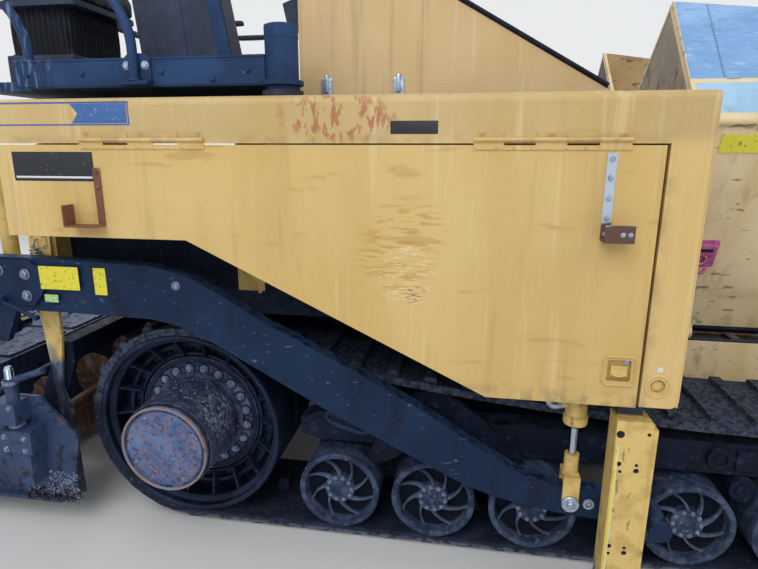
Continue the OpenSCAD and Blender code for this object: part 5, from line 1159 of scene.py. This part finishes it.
blade = {
    "plate": (-640, -562, 1204, 1268), "plateBolts": ((-628, -574), (1216, 1256)), "bolts": (1100, 1000, 700),
    "spring": (-601, -1284, 1120), "turns": 7, "radius": 17, "rise": 84,
    # the spring's hooked ends, drawn (y, z)
    "hooks": [((-1284, 1200), (-1284, 1226), (-1274, 1238), (-1262, 1240)),
              ((-1284, 1122), (-1284, 1100), (-1274, 1090), (-1257, 1088))],
    "guard": [(216, 1030), (330, 1010), (330, 1120), (216, 1146)],
    "guardBolts": [(236, 1045), (310, 1030), (236, 1125), (310, 1108)],
}


def addBladeFurniture():
    # switch plate and spring on the side blade behind the arm's end
    look = blade
    plate = pressed(box(*look["plate"], 6), 1257, 1263, 2)
    putPiece("bladePlate", [plate, boltHeads(grid(*look["plateBolts"], 1263), 6)], "fittingEnamel")
    x, y, z = look["spring"]
    turns = np.linspace(0, 2 * np.pi * look["turns"], 240)
    rise = turns / (2 * np.pi * look["turns"]) * look["rise"]
    coil = np.stack([x + look["radius"] * np.cos(turns), y + look["radius"] * np.sin(turns), z + rise], 1)
    ends = [bentRod([(x, *spot) for spot in hook], 16, 3, 8, (1, 0, 0)) for hook in look["hooks"]]
    putPiece("bladeSpring", [tubed(coil, 3.4, 8, (0, 0, 1))] + ends, "boltSteel")
    putPiece("bladeBolts", [boltHeads(grid([-600], look["bolts"], 1258), 8)], "boltSteel")
    guard = pressed(rounded(look["guard"], 8), 1149, 1156, 2)
    corners = [(x, z, 1156) for x, z in look["guardBolts"]]
    putPiece("tankPlate", [guard, boltHeads(corners, 7)], "fittingEnamel")


addGateFurniture()
addScreedFurniture()
addBladeFurniture()
print("end gates, screed and blades")

# platform: hood, stations and seats
hood = {"high": 960, "top": 2190, "half": 1050, "foot": (1614, 1817), "latches": (560, 840), "pitch": 46}


def addHoodFurniture():
    look = hood
    half = look["half"]
    (xt, zt), (xf, zf) = (look["high"], look["top"]), look["foot"]
    length = np.hypot(xf - xt, zf - zt)
    ux, uz = (xf - xt) / length, (zf - zt) / length
    # rubber strip along both sides of the sloped lid: half-round profile carried down the slope
    line = np.linspace(24, length - 6, 40)[:, None]
    path = np.array([xt, -half - 1, zt]) + line * (ux, 0, uz) + (-uz * 10, 0, ux * 10)
    putPiece("lidStrip", [tubed(path, 8.5, 12)], "rubberBlack", "hood_lid")
    # louvre blades across the lid: a closed S-shaped section, 20 + 11 sin(pi t) (0.4 + 0.6 t) high, drawn along Y
    t = np.linspace(0, 1, 9)
    over, under = 20 + 11 * np.sin(np.pi * t) * (0.4 + 0.6 * t), 16 + 0 * t
    blades = []
    for s in np.arange(110, length - 110, look["pitch"]):
        place = np.concatenate([s + 30 * t, s + 30 * t[::-1]])
        rise = np.concatenate([over, under[::-1]])
        outline = np.stack([xt + ux * place - uz * rise, zt + uz * place + ux * rise], 1)
        blades.append(pressed(outline, -820, 820, 1.0))
    putPiece("lidLouvres", blades, "armEnamel", "hood_lid", sides="right")
    # folded seams on the hood's side and two latches
    seams = [bentRod([(x, -half - 0.5, z) for z in (1776, 1960, 2180)], 24, 2.6, 8) for x in (486, 948)]
    corner = bentRod([(482, -half + 3, 2186), (700, -half + 3, 2186.5), (952, -half + 3, 2186)], 24, 5, 10)
    putPiece("hoodSeams", seams + [corner], "hoodEnamel")
    latch = [pressed(box(x, x + 44, 1800, 1868, 8), half - 1, half + 7, 3) for x in look["latches"]]
    catch = [pressed(box(x + 14, x + 30, 1812, 1880, 5), half + 6, half + 14, 4) for x in look["latches"]]
    putPiece("hoodLatches", latch + catch, "zincSteel")
    rows = [pressed(box(520, 900, y, y + 24, 8), 2189, 2197, 4, "top") for y in np.arange(-420, 400, 48)]
    putPiece("hoodVents", rows, "armEnamel", sides="right")
    arch = ((-700, 2188), (-700, 2222), (-676, 2240), (-652, 2222), (-652, 2188))
    eye = bentRod([(700, y, z) for y, z in arch], 30, 9, 12, (1, 0, 0))
    putPiece("hoodLiftingEye", [eye], "armEnamel")
    outlet = turned([(60, 2186), (60, 2204), (66, 2206), (66, 2214), (52, 2214), (50, 2192), (0.5, 2192)],
                    (590, -820, 0), "top", 48)
    putPiece("exhaustOutlet", [outlet], "scorchedSteel", sides="right")


station = {
    "outer": 1340, "pivot": (489, -1300, 2007), "pivotRadius": 57, "railRadius": 17.0,
    # ends of the rails (place, lean), the desk's lower and upper edge, then places on the desk
    "railEnds": [(-144.9, -1358, 2151.0, 55), (-556.8, -1300, 2107.0, 42)],
    "desk": ((-150.0, 2550.0), (120.0, 2650.0)), "stick": (150, -720), "wheel": (150, -830), "wheelRadius": 66,
}


def addStation():
    look = station
    x, y, z = look["pivot"]
    r = look["pivotRadius"]
    cap = turned([(r + 1, -40), (r + 1, -4), (r - 4, 2), (r - 14, 5), (20, 5), (18, 8), (0.5, 8)],
                 (x, y, z), "top", 56)
    collar = turned([(r + 1, -196), (r + 16, -192), (r + 16, -178), (r + 1, -172)], (x, y, z), "top", 56)
    bolts = boltHeads([(x + 66 * np.cos(a), y + 66 * np.sin(a), z - 180) for a in np.arange(6) * 1.047], 5, "top")
    putPair("pivotCap", [cap, collar, bolts], "stationEnamel", "station")
    out = look["outer"]
    bracket = pressed(rounded([(-86, 1832), (-86, 1902), (-60, 1926), (4, 1926), (24, 1908), (24, 1832)], 8),
                      out - 0.5, out + 8, 2)
    lip = pressed(box(-87, 25, -1379, -1341, 6), 1828.5, 1833, 1.5, "top")
    weld = [turned([(17.5, 0), (25, 1), (23, 5), (18, 9)], (x, y, z), "top", 28)
            for x, y, z in ((-34, -1358, 1833), (-490, -1300, 1913.5))]
    putPair("railBracket", [bracket, lip] + weld, "stationEnamel", "station")
    putPair("railBolts", [boltHeads(grid((-66, 4), [1886], out + 8), 10)], "zincSteel", "station")
    ends = []
    for x, y, z, angle in look["railEnds"]:
        # rounded plug square to the tube's end: radius r, height h along the direction (-sin a, 0, cos a)
        lengthwise = np.array((-np.sin(radians(angle)), 0, np.cos(radians(angle))))
        rows = np.array([(look["railRadius"] - 0.3, 0), (look["railRadius"] - 0.3, 2), (look["railRadius"] - 3, 6),
                         (0.4, 7.5)])
        turn = np.arange(24) * np.pi / 12
        across = np.array((np.cos(radians(angle)), 0, np.sin(radians(angle))))
        points = (np.array((x, y, z)) + rows[:, 1][:, None, None] * lengthwise + rows[:, 0][:, None, None]
                  * (np.cos(turn)[None, :, None] * across + np.sin(turn)[None, :, None] * np.array((0.0, 1.0, 0.0))))
        ends.append((points.reshape(-1, 3), gridFaces(4, 24, wrapCols=True)))
    putPair("railEnds", ends, "rubberBlack", "station")
    seam = [bentRod([(x, -out - 0.5, z) for x in (-522, 0, 438)], 30, 2.2, 8) for z in (1822, 1908)]
    side = boltHeads([(-470, 1865, out), (-250, 1865, out), (60, 1865, out), (380, 1865, out), (250, 1838, out)], 8)
    putPair("stationSeams", seam, "stationEnamel", "station")
    putPair("stationBolts", [side], "stationEnamel", "station")
    # sloping console: bezel, blank screen, buttons, joystick and a small wheel
    a, b = np.array(look["desk"])
    uphill = (b - a) / np.linalg.norm(b - a)
    away = np.array((-uphill[1], uphill[0]))

    def onConsole(shape):
        # drawn flat (u along the slope, v across the machine, depth), then laid on the sloping top
        p = shape[0]
        place = a[None] + p[:, :1] * uphill + p[:, 2:3] * away
        return np.stack([place[:, 0], p[:, 1], place[:, 1]], 1), shape[1]

    panel = onConsole(pressed(box(12, 274, -1220, -640, 16), -1, 7, 4, "top"))
    screen = onConsole(pressed(box(110, 250, -1190, -1000, 10), 6, 13, 3, "top"))
    glass = onConsole(pressed(box(122, 238, -1178, -1012, 5), 12.5, 14, 0.6, "top"))
    keys = [onConsole(pressed(box(u, u + 18, v, v + 26, 4), 6.5, 12, 2, "top")) for u in (40, 70)
            for v in np.arange(-1190, -700, 42)]
    dials = [onConsole(turned([(15, 7), (15, 16), (12, 20), (0.5, 21)], (u, v, 0), "top", 24))
             for u, v in ((150, -950), (200, -950), (175, -900))]
    x, y = look["stick"]
    stick = onConsole(bentRod([(x, y, 6), (x - 4, y, 40), (x, y - 2, 74), (x - 4, y - 2, 100)], 20,
                              np.linspace(11, 15, 20), 14))
    boot = onConsole(turned([(34, 6), (33, 10), (26, 14), (27, 18), (20, 22), (21, 26), (13, 30)], (x, y, 0), "top",
                            30))
    x, y = look["wheel"]
    wheelPath = circleOutline(x, y, look["wheelRadius"], 64)
    rim = onConsole(tubed(np.column_stack([np.vstack([wheelPath, wheelPath[:2]]), np.full(66, 62.0)]), 9, 12,
                          (0, 0, 1)))
    hub = onConsole(turned([(20, 6), (20, 50), (24, 54), (24, 64), (18, 68), (0.5, 69)], (x, y, 0), "top", 28))
    arms = [onConsole(tubed([(x + r * np.cos(g), y + r * np.sin(g), 60 + r / 32) for r in (0, 32, 64)], 6, 8,
                            (0, 0, 1))) for g in (0.3, 2.4, 4.5)]
    putPair("consolePanel", [panel, screen], "consolePlastic", "station")
    putPair("consoleScreen", [glass], "screenGlass", "station")
    putPair("consoleKeys", keys + dials, "rubberBlack", "station")
    putPair("consoleWheel", [stick, boot, rim, hub] + arms, "rubberBlack", "station")
    # side wall: slanted front post, a seam down it and its screws
    post = pressed(rounded([(244, 1853), (294, 1853), (186, 2464), (138, 2464)], 5), 1238, 1247, 3)
    seam = bentRod([(118, -1240, 1856), (96, -1240, 2120), (62, -1240, 2460)], 30, 2.2, 8)
    putPair("consoleWall", [post, seam, boltHeads([(268, 1890, 1247), (222, 2150, 1247), (168, 2430, 1247)], 6)],
            "stationEnamel", "station")


seat = {"cushion": (-756, -372, -1166, -714), "cushionZ": (2160, 2262), "back": (-1150, -730), "voxel": 8.0,
        "lean": 8, "foot": 2160, "backX": -798, "swell": 14.0, "bellowsZ": (1968, 2150),
        "base": (-740, -440, -1120, -760), "fill": 0.75, "channel": 7.0, "pleats": 50, "frames": 15}


def puffed(shape, swell):
    # soft pad: the shape is remeshed, blown up by cloth with inside pressure, and no point moves more than the swell
    points, faces = shape
    mesh = bpy.data.meshes.new("padStart")
    mesh.from_pydata(toMetres(points).tolist(), [], faces)
    pad = bpy.data.objects.new("padStart", mesh)
    scene.collection.objects.link(pad)
    remesh = pad.modifiers.new("even", "REMESH")
    remesh.mode, remesh.voxel_size = "VOXEL", seat["voxel"] / 1000
    even = bpy.data.meshes.new_from_object(pad.evaluated_get(bpy.context.evaluated_depsgraph_get()))
    pad.modifiers.clear()
    pad.data = even
    start = np.empty(len(even.vertices) * 3)
    even.vertices.foreach_get("co", start)
    start = start.reshape(-1, 3)
    ends = start
    cloth = pad.modifiers.new("air", "CLOTH")
    cloth.settings.use_pressure = True
    cloth.settings.uniform_pressure_force = 4.0
    cloth.settings.effector_weights.gravity = 0.0
    for number in range(1, seat["frames"] + 1):
        scene.frame_set(number)
    blown = pad.evaluated_get(bpy.context.evaluated_depsgraph_get()).data
    ends = np.empty(len(blown.vertices) * 3)
    blown.vertices.foreach_get("co", ends)
    ends = ends.reshape(-1, 3)
    scene.frame_set(1)
    step = ends - start
    far = np.linalg.norm(step, axis=1, keepdims=True)
    step = step * np.minimum(1, swell / 1000 / np.maximum(far, 1e-9))
    done = (start + step) * 1000 - (axleX, 0, 0)
    polygons = [list(face.vertices) for face in even.polygons]
    bpy.data.objects.remove(pad)
    return done, polygons


def sewn(shape, low, high, across, depth, spacing):
    # sewn channels: every point near a seam is drawn in toward the pad's middle plane, depth*exp(-(d/7)^2)
    points, faces = shape
    seam = np.abs((points[:, across] - low + spacing / 2) % spacing - spacing / 2)
    middle = 0.5 * (points[:, 2].max() + points[:, 2].min())
    pull = depth * np.exp(-(seam / seat["channel"]) ** 2) * (points[:, across] > low) * (points[:, across] < high)
    drawn = points.copy()
    drawn[:, 2] -= pull * np.sign(points[:, 2] - middle) * (np.abs(points[:, 2] - middle) > 18)
    return drawn, faces


def leaned(shape):
    # the backrest leans to the rear about its foot: x becomes x cos a - z sin a, z becomes z cos a + x sin a
    points, faces = shape
    a, x, z = radians(seat["lean"]), points[:, 0], points[:, 2] - seat["foot"]
    return np.stack([x * np.cos(a) - z * np.sin(a) + seat["backX"], points[:, 1],
                     seat["foot"] + z * np.cos(a) + x * np.sin(a)], 1), faces


def addSeats():
    look = seat
    x0, x1, y0, y1 = look["cushion"]
    z0, z1 = look["cushionZ"]
    cushion = pressed(box(x0 + 12, x1 - 12, y0 + 14, y1 - 14, 46, 5), z0 + 14, z1 - 10, 26, "top")
    cushion = sewn(puffed(cushion, look["swell"]), y0 + 70, y1 - 70, 1, 9, 78)
    b0, b1 = look["back"]
    back = puffed(leaned(pressed(box(b0 + 12, b1 - 12, 2256, 2690, 50, 5), 0, 66, 24, "front")), look["swell"])
    seamed = back[0].copy()
    ridge = np.abs((seamed[:, 1] - b0 - 70 + 35) % 70 - 35)
    front = seamed[:, 0] > np.interp(seamed[:, 2], [2160, 2700], [-766, -840])
    inside = (seamed[:, 2] > 2330) * (seamed[:, 2] < 2620)
    seamed[:, 0] -= 7 * np.exp(-(ridge / look["channel"]) ** 2) * front * inside
    back = (seamed, back[1])
    rests = [puffed(pressed(box(-748, -462, y - 24, y + 24, 20, 4), 2438, 2470, 12, "top"), 5.0)
             for y in (-1185, -695)]
    for side in ("right", "left"):
        for name, shapes in (("seatCushion_", [cushion]), ("seatBack_", [back]), ("seatArmrests_", rests)):
            pad = putPiece(name + side, shapes, "seatVinyl", "station_" + side, side, 60)
            if name == "seatCushion_":
                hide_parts("seat_" + side)
    # skirt below the cushion: upright pleats, pushed out by 9*|sin(pi s/pitch)| along its girth s
    x0, x1, y0, y1 = look["base"]
    z0, z1 = look["bellowsZ"]
    outline = box(x0 + 8, x1 - 8, y0 + 8, y1 - 8, 30, 5)
    closed = np.vstack([outline, outline[:1]])
    girth = np.concatenate([[0], np.cumsum(np.linalg.norm(np.diff(closed, axis=0), axis=1))])
    s = np.linspace(0, girth[-1], 400, endpoint=False)
    line = np.stack([np.interp(s, girth, closed[:, 0]), np.interp(s, girth, closed[:, 1])], 1)
    ahead = np.roll(line, -3, 0) - np.roll(line, 3, 0)
    away = np.stack([ahead[:, 1], -ahead[:, 0]], 1) / np.linalg.norm(ahead, axis=1, keepdims=True)
    pleat = 9 * np.abs(np.sin(np.pi * s / (girth[-1] / look["pleats"])))
    share = np.linspace(0, 1, 13)[:, None]
    push = pleat[None, :] * (0.55 + 0.45 * np.sin(np.pi * share)) - 10
    ring = line[None] + push[..., None] * away[None]
    points = np.stack([ring[..., 0], ring[..., 1], z0 + (z1 - z0) * share + 0 * ring[..., 0]], -1).reshape(-1, 3)
    bellows = (points, gridFaces(13, 400, wrapCols=True))
    putPair("seatBellows", [bellows], "rubberBlack", "station")
    base = pressed(box(x0 - 4, x1 + 4, y0 - 4, y1 + 4, 14), 1849, 1970, 8, "top")
    pan = pressed(box(x0 - 10, x1 + 46, y0 - 26, y1 + 26, 30), 2146, 2170, 8, "top")
    putPair("seatBase", [base, pan, boltHeads([(x0 + 20, y0 + 20, 1970), (x1 - 20, y0 + 20, 1970)], 7, "top")],
            "consolePlastic", "station")
    shell = leaned(pressed(box(b0 + 2, b1 - 2, 2250, 2700, 50, 5), -16, -2, 8, "front"))
    hinge = [bentRod([(-790, y, 2170), (-806, y, 2230), (-812, y, 2330)], 20, 12, 12) for y in (-1120, -760)]
    bend = ((-818, 2330), (-820, 2400), (-790, 2438), (-720, 2446), (-520, 2446))
    arms = [bentRod([(x, y, z) for x, z in bend], 40, 11, 12) for y in (-1172, -708)]
    putPair("seatShell", [shell] + hinge + arms, "consolePlastic", "station")


# anti-slip plates: (x0, x1, |y|0, |y|1, height, body), each covered with rolled lozenges that turn from cell to cell
treadPlates = {
    "deckTread": (-690, 440, 26, 540, 1770.0, "tractor"), "stationTread": (-756, 426, 580, 1246, 1850.0, "station"),
    "walkwayTread": (-2210, -1905, 26, 1160, 345.0, "screed"), "pitch": 42.0,
}


def addTread():
    pitch = treadPlates["pitch"]
    foot, top = np.array([(-15, 0), (0, -5), (15, 0), (0, 5)]), np.array([(-11, 0), (0, -3), (11, 0), (0, 3)])
    points = np.vstack([np.column_stack([foot, np.full(4, -0.3)]),
                        np.column_stack([top, np.full(4, 1.5)])]).astype(float)
    faces = gridFaces(2, 4, wrapCols=True) + [[4, 5, 6, 7]]
    for name in ("deckTread", "stationTread", "walkwayTread"):
        x0, x1, y0, y1, height, body = treadPlates[name]
        i, k = np.meshgrid(np.arange(int((x1 - x0) / pitch)), np.arange(int((y1 - y0) / pitch)), indexing="ij")
        places = np.stack([x0 + (i + 0.5) * pitch, -(y0 + (k + 0.5) * pitch), height + 0 * i], -1).reshape(-1, 3)
        odd = ((i + k) % 2).ravel() == 1
        shapes = [repeated((points, faces), places[~odd]), repeated((points[:, [1, 0, 2]], faces), places[odd])]
        if body == "station":
            putPair(name, shapes, "deckSteel", body)
        else:
            putPiece(name, shapes, "deckSteel", body)


addHoodFurniture()
addStation()
addSeats()
addTread()
print("hood, stations, seats and tread")


def addFloor():
    size = 40.0
    mesh = bpy.data.meshes.new("studioFloor")
    mesh.from_pydata([(-size, -size, 0), (size, -size, 0), (size, size, 0), (-size, size, 0)], [], [(0, 1, 2, 3)])
    floor = bpy.data.objects.new("studioFloor", mesh)
    scene.collection.objects.link(floor)
    material = bpy.data.materials.new("studioFloorPaint")
    material.use_nodes = True
    tree = material.node_tree
    tree.nodes.clear()
    paint = addNode(tree, "ShaderNodeBsdfPrincipled",
                    {"Base Color": srgbToLinear(studio["floorHex"]), "Roughness": 0.9})
    addNode(tree, "ShaderNodeOutputMaterial", {}, {"Surface": paint.outputs[0]})
    mesh.materials.append(material)


def addSky():
    world = bpy.data.worlds.new("studioSky")
    scene.world = world
    world.use_nodes = True
    tree = world.node_tree
    tree.nodes.clear()
    rays = addNode(tree, "ShaderNodeLightPath")
    seen = addNode(tree, "ShaderNodeMath", {"operation": "MAXIMUM"},
                   {0: rays.outputs["Is Camera Ray"], 1: rays.outputs["Is Glossy Ray"]})
    seen = addNode(tree, "ShaderNodeMath", {"operation": "MAXIMUM"},
                   {0: seen.outputs[0], 1: rays.outputs["Is Transmission Ray"]})
    light = addNode(tree, "ShaderNodeBackground",
                    {"Color": srgbToLinear(studio["skyHex"]), "Strength": studio["skyStrength"]})
    shown = addNode(tree, "ShaderNodeBackground", {"Color": srgbToLinear(studio["seenSkyHex"]), "Strength": 1.0})
    both = addNode(tree, "ShaderNodeMixShader", {}, {0: seen.outputs[0], 1: light.outputs[0], 2: shown.outputs[0]})
    addNode(tree, "ShaderNodeOutputWorld", {}, {"Surface": both.outputs[0]})


def addLamps():
    from mathutils import Vector
    for number, (place, aim, size, power) in enumerate(studio["lamps"]):
        lamp = bpy.data.lights.new("softLamp%d" % number, "AREA")
        lamp.size = size
        lamp.energy = power
        item = bpy.data.objects.new("softLamp%d" % number, lamp)
        item.location = place
        item.rotation_euler = (Vector(aim) - Vector(place)).to_track_quat("-Z", "Y").to_euler()
        scene.collection.objects.link(item)


def addCamera():
    lens = bpy.data.cameras.new("photoCamera")
    lens.sensor_fit = "HORIZONTAL"
    lens.sensor_width = 36.0
    lens.lens = photoCamera["lens"]
    lens.clip_end = 200.0
    item = bpy.data.objects.new("photoCamera", lens)
    item.location = toMetres(photoCamera["place"])
    item.rotation_euler = (radians(photoCamera["tilt"]), radians(photoCamera["roll"]), radians(photoCamera["turn"]))
    scene.collection.objects.link(item)
    scene.camera = item


addCamera()
addFloor()
addSky()
addLamps()
scene.view_settings.view_transform = "Standard"
print("camera, floor and lamps")
